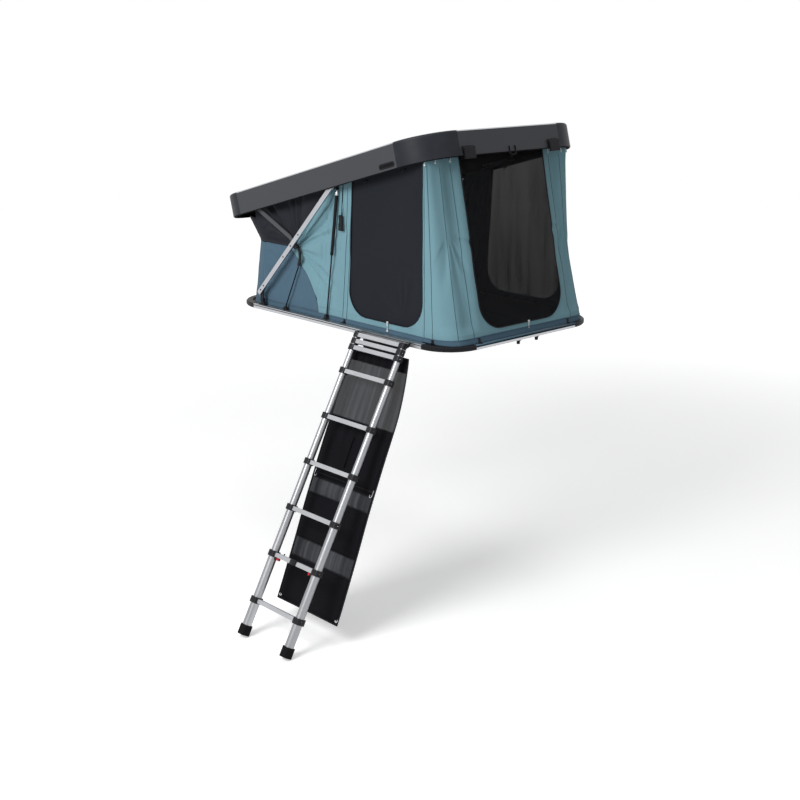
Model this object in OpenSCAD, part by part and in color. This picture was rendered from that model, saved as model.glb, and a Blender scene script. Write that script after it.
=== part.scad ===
// Hard-shell roof top tent: a wedge lid on lift arms, fabric walls, and a telescopic ladder on its left side.
// Origin: centre of the roof-bar bolt pattern, on the underside of the mounting channels.
// +X is the high end with the rear window, +Y the side away from the ladder. Shown open.

/* [Base tray] */
// Length of the base tray
base_l = 2150; // [2100:5:2170]
// Width of the base tray
base_w = 1390; // [1386:1:1400]
// Corner radius of the base tray
base_r = 236; // [200:2:260]
// Height of the base rails
rail_h = 30; // [26:1:34]
// Width of the base rails
rail_w = 44; // [36:1:48]
// Thickness of the floor panel
floor_t = 22; // [14:1:24]
// Thickness of the mattress at its crown
mattress_t = 62; // [45:1:75]

/* [Mounting channels] */
// Height of a channel
channel_h = 30; // [24:1:40]
// Width of a channel
channel_w = 56; // [46:1:70]
// Wall of a channel
channel_wall = 3; // [2:0.5:5]
// Length of a channel
channel_l = 1900; // [1400:10:1960]
// Bolt spacing along the tent
bolt_x = 900; // [700:10:1200]
// Bolt spacing across the tent
bolt_y = 800; // [600:10:1000]
// Radius of a bolt hole
bolt_r = 4.5; // [4:0.25:6]

/* [Lid] */
// How far the lid reaches past the base tray at each end
lid_over_l = 13; // [8:1:25]
// How far the lid reaches past the base tray at each side
lid_over_w = 21; // [20:0.5:25]
// Corner radius of the lid
lid_r = 272; // [240:2:290]
// Height of the lid's side panels
lid_h = 143; // [138:1:155]
// Thickness of the side panels
panel_t = 4; // [3:0.5:4.5]
// Width of the panels' inner flange
flange_w = 72; // [70:1:80]
// Thickness of the roof panel
roof_t = 14; // [10:1:18]
// Thickness of the headliner
liner_t = 12; // [8:1:16]
// How far the corner mouldings stand above the panels
corner_lip = 10; // [8:1:14]
// Wall of the corner mouldings
corner_wall = 5; // [4:0.5:7]
// Tilt of the open lid
lid_tilt = 15.3; // [14.5:0.1:16]
// Gap between the closed lid and the base rails
lid_gap = 7; // [6.5:0.5:9]

/* [Lift linkage] */
// Angle that the arms turn through
lift_angle = 47.8; // [46:0.1:49]
// Arm length from base pivot to lid roller
arm_l = 1170; // [1160:1:1180]
// Width of the arm
arm_w = 32; // [28:1:36]
// Wall of the arm's channel section
arm_wall = 3; // [2:0.5:4]
// Distance of the base pivot ahead of the middle
pivot_x = 758; // [750:1:765]
// Height of the base pivot above the rails
pivot_up = 34; // [33:0.5:38]
// Distance along the arm to the crossing pivot
cross_d = 562; // [550:1:575]
// Distance of the lever's lid pivot ahead of the lid's middle
lever_x = 730; // [722:1:738]
// Height of the lever's lid pivot above the lid's lower edge
lever_up = 58; // [52:1:62]
// Width of the lever
lever_w = 30; // [24:1:34]
// Thickness of the lever
lever_t = 8; // [6:0.5:8.5]
// Length of the curved tail link
tail_l = 124; // [110:1:135]
// Radius of the linkage pins
pin_r = 6; // [5:0.25:7]
// Running clearance of a pin in its bore
run = 0.05; // [0.03:0.01:0.08]

/* [Gas strut] */
// Distance of the strut's base pivot ahead of the middle
strut_x = 100; // [94:1:106]
// Height of the strut's base pivot above the rails
strut_up = 22; // [21:0.5:26]
// Radius of the strut body
strut_r = 10.5; // [9:0.25:11]
// Radius of the strut rod
rod_r = 5; // [4:0.25:6]
// Length of the strut body
strut_l = 412; // [380:1:415]
// Length of the strut rod
rod_l = 432; // [428:1:434]

/* [Fabric] */
// Thickness of the fabric solids
cloth_t = 3; // [2:0.5:4]
// Distance of the side walls inside the edge of the base tray
wall_in = 58; // [57:0.5:65]
// Distance of the front wall's foot inside the edge of the base tray
foot_in = 49; // [45:1:60]
// Distance of the rear wall's foot inside the edge of the base tray
rear_in = 19; // [16:1:26]
// Forward lean of the rear wall, per unit of height
rear_lean = 0.215; // [0.2:0.005:0.22]
// How far a rear corner reaches along the side wall
corner_l = 263; // [258:1:272]
// How far a rear corner reaches across the rear wall
corner_y = 250; // [240:1:265]
// How far the front wall is drawn in at its waist
front_waist = 80; // [60:1:95]
// Height of the front wall's waist
waist_z = 492; // [470:1:515]
// Corner radius of the front wall
front_r = 200; // [180:1:215]
// Height of the skirt's seam
seam_z = 105; // [96:1:115]
// Front edge of the side doors at their sill
door_front = 108; // [100:1:116]
// Rearward slant of the doors' front edge, per unit of height
door_slant = 0.054; // [0.03:0.002:0.08]
// Strip of side wall between a door and the rear corner
door_gap = 10; // [8:1:20]
// Height of the sill of doors and window
sill_z = 128; // [122:1:138]
// Bottom corner radius of doors and window
sill_r = 165; // [140:1:180]
// Half width of the rear window
window_y = 374; // [355:1:380]

/* [Ladder] */
// Distance of the ladder's middle behind the tent's middle
ladder_x = 505; // [480:1:530]
// Distance between the stiles' centres
stile_span = 420; // [400:1:440]
// Lean of the ladder from vertical
ladder_lean = 28.75; // [24:0.25:32]
// Rung spacing of an extended section
rung_pitch = 305; // [295:1:315]
// Rung spacing of a collapsed section
stack_pitch = 42; // [41:0.5:50]
// Rung spacing of the fourth section, which is partly out
part_pitch = 158; // [120:1:200]
// Outer radius of the top section's stiles
top_stile_r = 17; // [15:0.5:18]
// Growth in stile radius from one section to the next
stile_step = 1.5; // [1.5:0.05:1.7]
// Wall of a stile
stile_wall = 1.2; // [0.9:0.05:1.2]
// How far an extended stile stays inside the next one
stile_overlap = 50; // [40:1:60]
// Length of the bottom section below its rung
bottom_l = 180; // [178:1:195]
// Depth of a rung
rung_d = 38; // [32:1:40]
// Height of a rung
rung_h = 26; // [22:1:28]
// Height of a collar
collar_h = 38; // [34:0.5:40]
// Margin of a collar around its stile
collar_margin = 5; // [4:0.25:6]
// Height of a foot
foot_h = 46; // [40:1:55]
// Distance of the ladder's hinge outside the base tray
hinge_out = 32; // [31:0.5:36]
// Height of the ladder's hinge above the rails' underside
hinge_up = 4; // [0:0.5:10]
// Width of the hanging organiser
organiser_w = 580; // [540:5:600]
// Length of the hanging organiser
organiser_l = 1660; // [1500:10:1700]
// How far the organiser hangs to the rear of the ladder's middle
organiser_shift = 5; // [0:1:20]

/* [Hidden] */
$fn = 48;

// Colours
alloy = [0.80, 0.81, 0.83];
black_plastic = [0.10, 0.10, 0.11];
charcoal = [0.27, 0.28, 0.31];
teal = [0.45, 0.63, 0.67];
slate = [0.30, 0.40, 0.49];
dark_cloth = [0.14, 0.14, 0.17];
release_red = [0.75, 0.10, 0.10];

// Sizes that follow the base tray
lid_l = base_l + 2 * lid_over_l;
lid_w = base_w + 2 * lid_over_w;
wall_y = base_w / 2 - wall_in;
rear_foot = base_l / 2 - rear_in;
front_foot = base_l / 2 - foot_in;
corner_x = rear_foot - corner_l;
door_rear = corner_x - door_gap;

// Levels of the base and of the closed lid
base_top = channel_h + rail_h;
floor_top = channel_h + floor_t;
closed_z = base_top + lid_gap;
seat = 0.2;

// Layers of the linkage, as distances from the tent's middle plane
lid_in = lid_w / 2 - panel_t;
arm_out = base_w / 2;
arm_d = 12;
arm_in = arm_out - arm_d;
plate_t = 6;
plate_in = arm_in - plate_t;
lever_out = plate_in - 3;
lever_in = lever_out - lever_t;
tail_t = 6;
tail_out = lever_in - 5;
strut_y = tail_out - 11;
eye_t = 12;
eye_r = 9;
eye_pin_r = 4;

// Linkage points in the side view, as [x, z]: A base pivot, P crossing, B lid roller, D lever on the lid
function along(a, d) = d * [cos(a), sin(a)];
function turned(p, a) = [p[0] * cos(a) - p[1] * sin(a), p[0] * sin(a) + p[1] * cos(a)];
pivot_a = [-pivot_x, base_top + pivot_up];
roller_b = pivot_a + along(lift_angle, arm_l);
cross_p = pivot_a + along(lift_angle, cross_d);
roller_h = pivot_a[1] - closed_z;
lever_d_closed = [-lever_x, closed_z + lever_up];
lever_l = norm(lever_d_closed - (pivot_a + [cross_d, 0]));
lid_u = -along(lid_tilt, 1);
lid_n = along(lid_tilt + 90, 1);
reach = roller_b + (lever_up - roller_h) * lid_n - cross_p;
slide_s = sqrt(pow(reach * lid_u, 2) - reach * reach + lever_l * lever_l) - reach * lid_u;
lever_d = cross_p + reach + slide_s * lid_u;
lid_at = lever_d - turned([-lever_x, lever_up], lid_tilt);
roller_open = turned(roller_b - lid_at, -lid_tilt)[0];
roller_closed = arm_l - pivot_x;
lever_angle = atan2(lever_d[1] - cross_p[1], lever_d[0] - cross_p[0]);
tail_angle = 273;
tail_end = cross_p + along(tail_angle, tail_l);
strut_f = [-strut_x, base_top + strut_up];
strut_on_arm = [arm_l - 30, -20];
strut_g = pivot_a + turned(strut_on_arm, lift_angle);
strut_angle = atan2(strut_g[1] - strut_f[1], strut_g[0] - strut_f[0]);
strut_open = norm(strut_g - strut_f);
strut_gap = 24;
strap_foot = [-520, base_top];

// The bar of an arm stands off the line of its pivots by a small crank
bar_turn = -2.7;
bar_off = 48;
bar_from = 22;
bar_l = arm_l - 6;

// Ladder measures
section_count = 9;
function rung_at(k) = k < 4 ? stack_pitch * (k - 1) : 2 * stack_pitch + part_pitch + rung_pitch * (k - 4);
function stile_r(k) = top_stile_r + stile_step * (k - 1);
stile_l = rung_pitch + stile_overlap;
hinge_y = -(base_w / 2 + hinge_out);
hinge_z = channel_h + hinge_up;
hinge_r = 6;

// Plain helpers

module both_sides() {
    children();
    mirror([0, 1, 0]) children();
}

module four_corners(l, w, r) {
    for (sx = [0, 1], sy = [0, 1])
        mirror([sx, 0, 0]) mirror([0, sy, 0]) translate([l / 2 - r, w / 2 - r, 0]) children();
}

// Rounded rectangle
module round_plan(l, w, r) {
    square([l - 2 * r, w], center = true);
    square([l, w - 2 * r], center = true);
    for (sx = [-1, 1], sy = [-1, 1])
        translate([sx * (l / 2 - r), sy * (w / 2 - r)]) circle(r, $fn = 96);
}

// Extrude a [y, z] outline along X, centred
module along_x(l) {
    rotate([90, 0, 90]) linear_extrude(l, center = true) children();
}

// Extrude an [x, z] outline along Y, centred
module along_y(l) {
    rotate([90, 0, 0]) linear_extrude(l, center = true) children();
}

// Extrude an [x, z] outline on the left side, between two distances from the middle plane
module side_plate(y_in, y_out) {
    translate([0, -y_in, 0]) rotate([90, 0, 0]) linear_extrude(y_out - y_in) children();
}

// Pin across the left side at a side-view point
module side_pin(p, r, y_in, y_out) {
    side_plate(y_in, y_out) translate(p) circle(r);
}

// Flat bar with round ends between two side-view points
module bar_outline(p, q, w) {
    d = q - p;
    translate(p) rotate(atan2(d[1], d[0])) {
        translate([0, -w / 2]) square([norm(d), w]);
        circle(w / 2);
        translate([norm(d), 0]) circle(w / 2);
    }
}

// Places a child that is drawn on the closed lid's lower plane onto the open lid
module on_lid() {
    translate([lid_at[0], 0, lid_at[1]]) rotate([0, -lid_tilt, 0]) children();
}

// Places a side-view outline that is drawn along the arm's pivot line
module on_arm() {
    translate(pivot_a) rotate(lift_angle) children();
}

// Places a child that is drawn with the ladder upright, its hinge at the origin
module on_ladder() {
    translate([ladder_x, hinge_y, hinge_z]) rotate([-ladder_lean, 0, 0]) children();
}

// Closed sheet between two edge curves: place maps [u, z] and a depth to a point
module sheet(place, first, last, cols, rows, thick, flip = false) {
    n = cols + 1;
    k = n * (rows + 1);
    function layer(depth) = [for (j = [0 : rows], i = [0 : cols])
        let (a = first(j / rows), b = last(j / rows)) place(a + (b - a) * i / cols, depth)];
    cells = [for (j = [0 : rows - 1], i = [0 : cols - 1]) j * n + i];
    rim = concat([for (i = [0 : cols - 1]) i], [for (j = [0 : rows - 1]) j * n + cols],
        [for (i = [cols : -1 : 1]) rows * n + i], [for (j = [rows : -1 : 1]) j * n]);
    m = len(rim);
    faces = concat(
        [for (a = cells) each [[a, a + n, a + 1], [a + 1, a + n, a + n + 1]]],
        [for (a = cells) each [[k + a, k + a + 1, k + a + n], [k + a + 1, k + a + n + 1, k + a + n]]],
        [for (i = [0 : m - 1]) let (a = rim[i], b = rim[(i + 1) % m])
            each [[a, b, k + b], [a, k + b, k + a]]]);
    polyhedron(concat(layer(0), layer(thick)), flip ? [for (f = faces) [f[2], f[1], f[0]]] : faces);
}

// Base tray

module floor_panel() color(dark_cloth)
    translate([0, 0, channel_h]) linear_extrude(floor_t)
        round_plan(base_l - 2 * (rail_w + seat), base_w - 2 * (rail_w + seat), base_r - rail_w - seat);

// Rail section with an outer groove and a fabric slot in its top, measured inwards from the outer face
module rail_section() {
    groove_d = 2;
    slot_d = 7;
    slot_w = 3.5;
    slot_at = 20;
    polygon([[0, 0], [rail_w, 0], [rail_w, rail_h],
        [slot_at + slot_w, rail_h], [slot_at + slot_w, rail_h - slot_d],
        [slot_at, rail_h - slot_d], [slot_at, rail_h], [0, rail_h], [0, rail_h - 5], [groove_d, rail_h - 7],
        [groove_d, rail_h - 10], [0, rail_h - 12]]);
}

module side_rails() color(alloy) both_sides()
    translate([0, -base_w / 2, channel_h]) along_x(base_l - 2 * base_r) rail_section();

module end_rails() color(alloy) for (s = [0, 1]) mirror([s, 0, 0])
    translate([-base_l / 2, 0, channel_h]) along_y(base_w - 2 * base_r) rail_section();

corner_rise = 1;
module base_corners() {
    bulge = 2;
    color(black_plastic) translate([0, 0, channel_h]) four_corners(base_l, base_w, base_r)
        rotate_extrude(angle = 90, $fn = 96)
            polygon([[base_r - rail_w, 0], [base_r - 4, 0], [base_r + bulge, 7], [base_r + bulge, rail_h - 6],
                [base_r - 5, rail_h + corner_rise], [base_r - rail_w, rail_h + corner_rise]]);
}

module mounting_channels() {
    lip = 12;
    color(alloy) both_sides() difference() {
        translate([0, -bolt_y / 2, 0]) along_x(channel_l) polygon([[-channel_w / 2, 0], [channel_w / 2, 0],
            [channel_w / 2, channel_h], [lip, channel_h], [lip, channel_h - channel_wall],
            [channel_w / 2 - channel_wall, channel_h - channel_wall],
            [channel_w / 2 - channel_wall, channel_wall],
            [channel_wall - channel_w / 2, channel_wall],
            [channel_wall - channel_w / 2, channel_h - channel_wall],
            [-lip, channel_h - channel_wall], [-lip, channel_h], [-channel_w / 2, channel_h]]);
        for (s = [-1, 1]) translate([s * bolt_x / 2, -bolt_y / 2, -1]) cylinder(channel_wall + 2, r = bolt_r);
    }
}

// Crowned mattress with round corners and drawn-in sides
module mattress() {
    mat_l = 2 * (front_foot - 40);
    mat_w = 2 * (wall_y - 30);
    mat_r = 250;
    edge_t = mattress_t * 0.55;
    pull = 10;
    function cut(y) = mat_r - sqrt(pow(mat_r, 2) - pow(max(0, abs(y) - mat_w / 2 + mat_r), 2));
    function crown(a, b) = (1 - pow(a, 6)) * (1 - pow(b, 6));
    place = function (p, d) let (
        b = sin(90 * p[1]),
        y = b * mat_w / 2,
        x = p[0] * (mat_l / 2 - cut(y) - pull * cos(90 * b)))
        [x, y, floor_top + 0.3 + (d == 0 ? 0 : edge_t + (mattress_t - edge_t) * crown(p[0], b))];
    color(slate) sheet(place, function (t) [-1, 2 * t - 1], function (t) [1, 2 * t - 1], 18, 18, 1);
}

// Feet of the arms and struts with their pins, and the clips that anchor the stay straps
module base_brackets() {
    foot_t = 5;
    cheek_in = lever_in;
    cheek_out = plate_in - 1;
    eye_in = strut_y - eye_t / 2;
    eye_out = strut_y + eye_t / 2;
    color(black_plastic) both_sides() {
        side_plate(cheek_in, cheek_out) {
            bar_outline([pivot_a[0], base_top + 17], pivot_a, 34);
            translate([pivot_a[0] - 40, base_top]) square([80, foot_t]);
        }
        side_pin(pivot_a, pin_r, cheek_in, arm_in + 1);
        side_plate(eye_out + 1, eye_out + 7) {
            bar_outline([strut_f[0], base_top + 12], strut_f, 24);
            translate([strut_f[0] - 26, base_top]) square([52, foot_t]);
        }
        side_pin(strut_f, eye_pin_r, eye_in, eye_out + 7);
        side_plate(strut_y + 4, strut_y + 20)
            polygon([for (p = [[-28, 0], [28, 0], [7, 24], [-7, 24]]) strap_foot + p]);
    }
}

// Two ears on the left rail with the ladder's hinge pins
ear_t = 6;
ear_x = stile_span / 2 + stile_r(1) + collar_margin + 1;
hinge_l = ear_t + collar_margin + 0.7;
module ladder_bracket() {
    ear_w = 22;
    color(black_plastic) for (s = [-1, 1]) translate([ladder_x, 0, 0]) {
        translate([s * (ear_x + ear_t / 2), 0, 0]) along_x(ear_t) hull() {
            translate([hinge_y, hinge_z]) circle(ear_w / 2);
            translate([-base_w / 2 - 2, channel_h + 2]) square([2, rail_h - 8]);
        }
        translate([s * (ear_x + ear_t - hinge_l / 2), hinge_y, hinge_z]) rotate([0, 90, 0])
            cylinder(hinge_l, r = hinge_r, center = true);
    }
}

// Fabric walls. Every point of the tent body lies on one of three surfaces: side, rear or front.

function lid_level(x) = lid_at[1] + (x - lid_at[0]) * tan(lid_tilt);
tuck = 14;
function top_at(x) = lid_level(x) + tuck;
function rear_x(z) = rear_foot - rear_lean * (z - base_top);
front_top = front_foot + 36;
front_top_z = lid_level(-front_top);
function front_x(z) = z < waist_z
    ? -front_foot + front_waist * (z - floor_top) / (waist_z - floor_top)
    : -front_foot + front_waist - (front_waist + 36) * min(1, (z - waist_z) / (front_top_z - waist_z));

// Folds in the cloth, always inwards
fold_from = -130;
fold_count = 3;
function side_fold(x) = x > fold_from && x < door_front
    ? 4 * (1 - cos(360 * fold_count * (x - fold_from) / (door_front - fold_from)))
    : 0;
function corner_fold(f) = 5 * (1 - cos(360 * 3 * f)) * sin(180 * f);

// Fuller rear corners towards the foot, as a share of their elliptic plan
flare_h = 500;
flare = 1.6;
function corner_power(z) = 2 + flare * pow(max(0, 1 - (z - base_top) / flare_h), 1.5);
function swell(f, z) = let (n = corner_power(z)) pow(pow(cos(90 * f), n) + pow(sin(90 * f), n), -1 / n);
corner_arc = 330;
rear_flat = wall_y - corner_y;
front_flat = wall_y - front_r;
front_arc = 310;

function side_place(p, d) = [p[0], -(wall_y - d - side_fold(p[0])), p[1]];
function rear_place(p, d) = let (
    s = sign(p[0]),
    f = max(0, abs(p[0]) - rear_flat) / corner_arc,
    in = d + corner_fold(f),
    k = swell(f, p[1]),
    rx = rear_x(p[1]) - corner_x,
    flat_y = min(abs(p[0]), rear_flat))
    [corner_x + (rx - in) * k * cos(90 * f), s * (flat_y + (corner_y - in) * k * sin(90 * f)), p[1]];
function front_place(p, d) = let (
    s = sign(p[0]),
    f = max(0, abs(p[0]) - front_flat) / front_arc,
    flat_y = min(abs(p[0]), front_flat),
    r = front_r - d)
    [front_x(p[1]) + front_r - r * cos(90 * f), s * (flat_y + r * sin(90 * f)), p[1]];

// Seam lines on the side walls
slate_curve = [-191.1, 0.041, -0.00135];
arm_seam = pivot_a[0] - 75;
function arm_line(z) = arm_seam + (z - pivot_a[1]) / tan(lift_angle);
function slate_line(z) = slate_curve[0] + slate_curve[1] * z + slate_curve[2] * z * z;
arm_top_z = top_at(arm_seam - pivot_a[1] / tan(lift_angle)) / (1 - tan(lid_tilt) / tan(lift_angle));
function front_seam(z) = max(slate_line(z), arm_line(z));
function sill_in(z) = z < sill_z + sill_r ? sill_r - sqrt(pow(sill_r, 2) - pow(sill_z + sill_r - z, 2)) : 0;
function eased(t) = pow(t, 1.7);
function lift(t, from, to) = from + (to - from) * t;
sew = 0.3;
function door_line(z) = door_front + door_slant * (z - sill_z);
door_top_z = top_at(door_line(lid_level(door_front)));
function seam_level(t) = t < 0.5 ? lift(2 * t, sill_z, waist_z) : lift(2 * t - 1, waist_z, arm_top_z);
function slate_level(t) = 7 * t < 1
    ? lift(7 * t, seam_z + sew, sill_z)
    : lift((7 * t - 1) / 6, sill_z, waist_z - sew);

module left_wall() {
    // Below the sill
    sheet(function (p, d) side_place(p, d),
        function (t) let (z = lift(t, seam_z + sew, sill_z)) [front_seam(z) + sew, z],
        function (t) [corner_x, lift(t, seam_z + sew, sill_z)], 24, 1, cloth_t);
    // Ahead of the door
    sheet(function (p, d) side_place(p, d),
        function (t) let (z = max(sill_z + sew, seam_level(t))) [front_seam(z) + sew, z],
        function (t) let (z = lift(eased(t), sill_z + sew, door_top_z)) [door_line(z) + sill_in(z) - sew, z],
        16, 12, cloth_t);
    // Behind the door
    sheet(function (p, d) side_place(p, d),
        function (t) let (z = lift(eased(t), sill_z + sew, top_at(door_rear)))
            [door_rear - sill_in(z) + sew, z],
        function (t) [corner_x, lift(eased(t), sill_z + sew, top_at(corner_x))], 2, 12, cloth_t);
}

module side_walls() color(teal) both_sides() left_wall();

module side_doors() {
    inset = 0.5;
    color(dark_cloth) both_sides()
        sheet(function (p, d) side_place(p, d + inset),
            function (t) let (z = lift(eased(t), sill_z + sew, door_top_z))
                [door_line(z) + sill_in(z) + sew, z],
            function (t) let (z = lift(eased(t), sill_z + sew, top_at(door_rear)))
                [door_rear - sill_in(z) - sew, z],
            6, 12, cloth_t - inset);
}

rear_end = rear_flat + corner_arc;
rear_top_z = top_at(rear_x(lid_level(corner_x)));
module rear_wall() color(teal) {
    // Below the sill
    sheet(function (p, d) rear_place(p, d), function (t) [-rear_end, lift(t, seam_z + sew, sill_z)],
        function (t) [rear_end, lift(t, seam_z + sew, sill_z)], 44, 1, cloth_t);
    // Beside the window, with the rounded and pleated corners
    both_sides()
        sheet(function (p, d) rear_place(p, d),
            function (t) [-rear_end, lift(eased(t), sill_z + sew, top_at(corner_x))],
            function (t) let (z = lift(eased(t), sill_z + sew, rear_top_z)) [sill_in(z) - window_y - sew, z],
            18, 12, cloth_t);
}

module rear_window() {
    inset = 0.5;
    color(dark_cloth) sheet(function (p, d) rear_place(p, d + inset),
        function (t) let (z = lift(eased(t), sill_z + sew, rear_top_z)) [sill_in(z) - window_y + sew, z],
        function (t) let (z = lift(eased(t), sill_z + sew, rear_top_z)) [window_y - sill_in(z) - sew, z],
        8, 12, cloth_t - inset);
}

front_end = front_flat + front_arc;
module front_wall() color(slate) {
    sheet(function (p, d) front_place(p, d), function (t) [-front_end, lift(t, seam_z + sew, waist_z - sew)],
        function (t) [front_end, lift(t, seam_z + sew, waist_z - sew)], 28, 6, cloth_t, true);
    both_sides()
        sheet(function (p, d) side_place(p, d),
            function (t) let (z = slate_level(t)) [front_x(z) + front_r + sew, z],
            function (t) let (z = slate_level(t)) [front_seam(z) - sew, z], 8, 7, cloth_t);
}

module front_hood() color(dark_cloth) {
    hood_top = front_top_z + tuck;
    sheet(function (p, d) front_place(p, d), function (t) [-front_end, lift(t, waist_z + sew, hood_top)],
        function (t) [front_end, lift(t, waist_z + sew, hood_top)], 28, 4, cloth_t, true);
    both_sides()
        sheet(function (p, d) side_place(p, d),
            function (t) let (z = lift(t, waist_z + sew, top_at(front_r - front_top)))
                [front_x(z) + front_r + sew, z],
            function (t) let (z = lift(t, waist_z + sew, arm_top_z)) [arm_line(z) - sew, z], 12, 6, cloth_t);
}

// Band round the foot of the walls, down to the floor panel or, at the rear, to the rail
module skirt() {
    skirt_z = floor_top + 0.3;
    rear_z = base_top + corner_rise + 0.3;
    color(slate) {
        sheet(function (p, d) rear_place(p, d), function (t) [-rear_end, lift(t, rear_z, seam_z)],
            function (t) [rear_end, lift(t, rear_z, seam_z)], 44, 1, cloth_t);
        sheet(function (p, d) front_place(p, d), function (t) [-front_end, lift(t, skirt_z, seam_z)],
            function (t) [front_end, lift(t, skirt_z, seam_z)], 28, 1, cloth_t, true);
        both_sides() sheet(function (p, d) side_place(p, d),
            function (t) let (z = lift(t, skirt_z, seam_z)) [front_x(z) + front_r + sew, z],
            function (t) [corner_x - sew, lift(t, skirt_z, seam_z)], 24, 1, cloth_t);
    }
}

// Webbing from the tail links down to their clips
module stay_straps() {
    strap_w = 9;
    strap_t = 2;
    strap_y = strut_y + 11;
    top = tail_end - along(tail_angle, 2);
    color(dark_cloth) both_sides() side_plate(strap_y - strap_t, strap_y)
        polygon([strap_foot + [-strap_w / 2, 24.3], strap_foot + [strap_w / 2, 24.3],
            top + [strap_w / 2, -14], top + [-strap_w / 2, -14]]);
}

// Lid

panel_l = lid_l - 2 * lid_r;
end_l = lid_w - 2 * lid_r;
roof_h = lid_h - roof_t;

// Section of a lid panel from its outer face inwards, with the flange that carries the roof panel
module panel_section() polygon([[0, 0], [panel_t, 0], [panel_t, roof_h - panel_t],
    [flange_w, roof_h - panel_t],
    [flange_w, roof_h], [panel_t, roof_h], [panel_t, lid_h], [0, lid_h]]);

module roof_panel() {
    in = corner_wall + seat;
    color(alloy) on_lid() translate([0, 0, roof_h]) linear_extrude(roof_t)
        round_plan(lid_l - 2 * in, lid_w - 2 * in, lid_r - in);
}

module lid_side_panels() color(charcoal) on_lid() both_sides()
    translate([0, -lid_w / 2, 0]) along_x(panel_l) panel_section();

module lid_end_panels() color(charcoal) on_lid() for (s = [0, 1]) mirror([s, 0, 0])
    translate([-lid_l / 2, 0, 0]) along_y(end_l) panel_section();

module lid_corners() {
    top = lid_h + corner_lip;
    cap = 60;
    in = lid_r - corner_wall;
    color(black_plastic) on_lid() four_corners(lid_l, lid_w, lid_r) rotate_extrude(angle = 90, $fn = 96)
        polygon([[lid_r, 0], [lid_r, top - 16], [lid_r - 2, top - 8], [lid_r - 8, top - 2], [lid_r - 18, top],
            [lid_r - cap, top], [lid_r - cap, top - corner_wall], [lid_r - 20, top - corner_wall],
            [in - 4, top - corner_wall - 1], [in, lid_h + 0.5], [in, 0]]);
}

// Bright strips along the roof's edges
module lid_trims() {
    trim_w = 26;
    trim_h = 6;
    color(alloy) on_lid() translate([0, 0, lid_h]) {
        both_sides() translate([-panel_l / 2, -lid_w / 2, 0]) cube([panel_l, trim_w, trim_h]);
        for (s = [0, 1]) mirror([s, 0, 0])
            translate([-lid_l / 2, -end_l / 2, 0]) cube([trim_w, end_l, trim_h]);
    }
}

module headliner() color(dark_cloth) on_lid() translate([0, 0, roof_h - liner_t]) linear_extrude(liner_t)
    round_plan(lid_l - 2 * flange_w - 1, lid_w - 2 * flange_w - 1, 190);

// Channels in which the arms' rollers run
module lid_tracks() {
    roller_room = 18;
    track_wall = 3;
    margin = 32;
    color(alloy) on_lid() both_sides()
        translate([(roller_open + roller_closed) / 2, -lid_in, 0])
            along_x(roller_closed - roller_open + 2 * margin) translate([0, roller_h]) difference() {
                translate([0, -roller_room - track_wall]) square([14, 2 * (roller_room + track_wall)]);
                translate([track_wall, -roller_room]) square([14, 2 * roller_room]);
            }
}

// Hanging brackets with the pins of the levers
module lid_pivots() {
    bracket_out = lever_in - 4;
    bracket_in = bracket_out - 10;
    hinge_point = [-lever_x, lever_up];
    color(black_plastic) on_lid() both_sides() {
        side_plate(bracket_in, bracket_out) {
            bar_outline(hinge_point, [-lever_x, roof_h - panel_t - 14], 28);
            translate([-lever_x - 32, roof_h - panel_t - 8]) square([64, 8]);
        }
        side_pin(hinge_point, pin_r, bracket_in, lever_out);
    }
}

// Recessed pulls on the outside of the side panels
module pull_handles() {
    pull_from_end = 358;
    pull_l = 140;
    pull_w = 34;
    proud = 1.5;
    color(black_plastic) on_lid() both_sides()
        translate([lid_l / 2 - pull_from_end, -lid_w / 2, 28]) rotate([90, 0, 0])
        linear_extrude(proud) difference() {
            round_plan(pull_l, pull_w, pull_w / 2 - 0.5);
            round_plan(pull_l - 16, pull_w - 16, pull_w / 2 - 8.5);
        }
}

// Latches on the rear panel
latch_y = 379;
latch_w = 88;
latch_pin = [lid_l / 2 + 11, 40];
latch_pin_r = 3;
module latch_plates() {
    plate_w = 98;
    color(black_plastic) on_lid() for (s = [-1, 1]) translate([0, s * latch_y, 0]) {
        translate([lid_l / 2, -plate_w / 2, 8]) cube([3, plate_w, 46]);
        for (e = [-1, 1]) translate([0, e * (plate_w / 2 - 2), 0]) along_y(4)
            bar_outline([lid_l / 2 + 6.5, latch_pin[1]], latch_pin, 13);
        translate([latch_pin[0], 0, latch_pin[1]]) rotate([90, 0, 0])
            cylinder(plate_w, r = latch_pin_r, center = true);
    }
}

module latch(s) color(black_plastic) on_lid() translate([0, s * latch_y, 0]) along_y(latch_w) difference() {
    union() {
        bar_outline(latch_pin, latch_pin + [1, -58], 10);
        translate(latch_pin + [-9, -64]) square([14, 6]);
    }
    translate(latch_pin) circle(latch_pin_r + run);
}

module latch_left() latch(-1);
module latch_right() latch(1);

// Webbing loop that hangs from the middle of the rear panel
module pull_loop() {
    outer = 32;
    inner = 20;
    legs = 33;
    squat = 0.88;
    module bow(r) {
        scale([1, squat]) circle(r);
        translate([-r, 0]) square([2 * r, legs]);
    }
    color(dark_cloth) on_lid() translate([lid_l / 2, 0, 0]) rotate([90, 0, 90]) linear_extrude(2.5)
        difference() {
            bow(outer);
            translate([0, 1]) bow(inner);
        }
}

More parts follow.
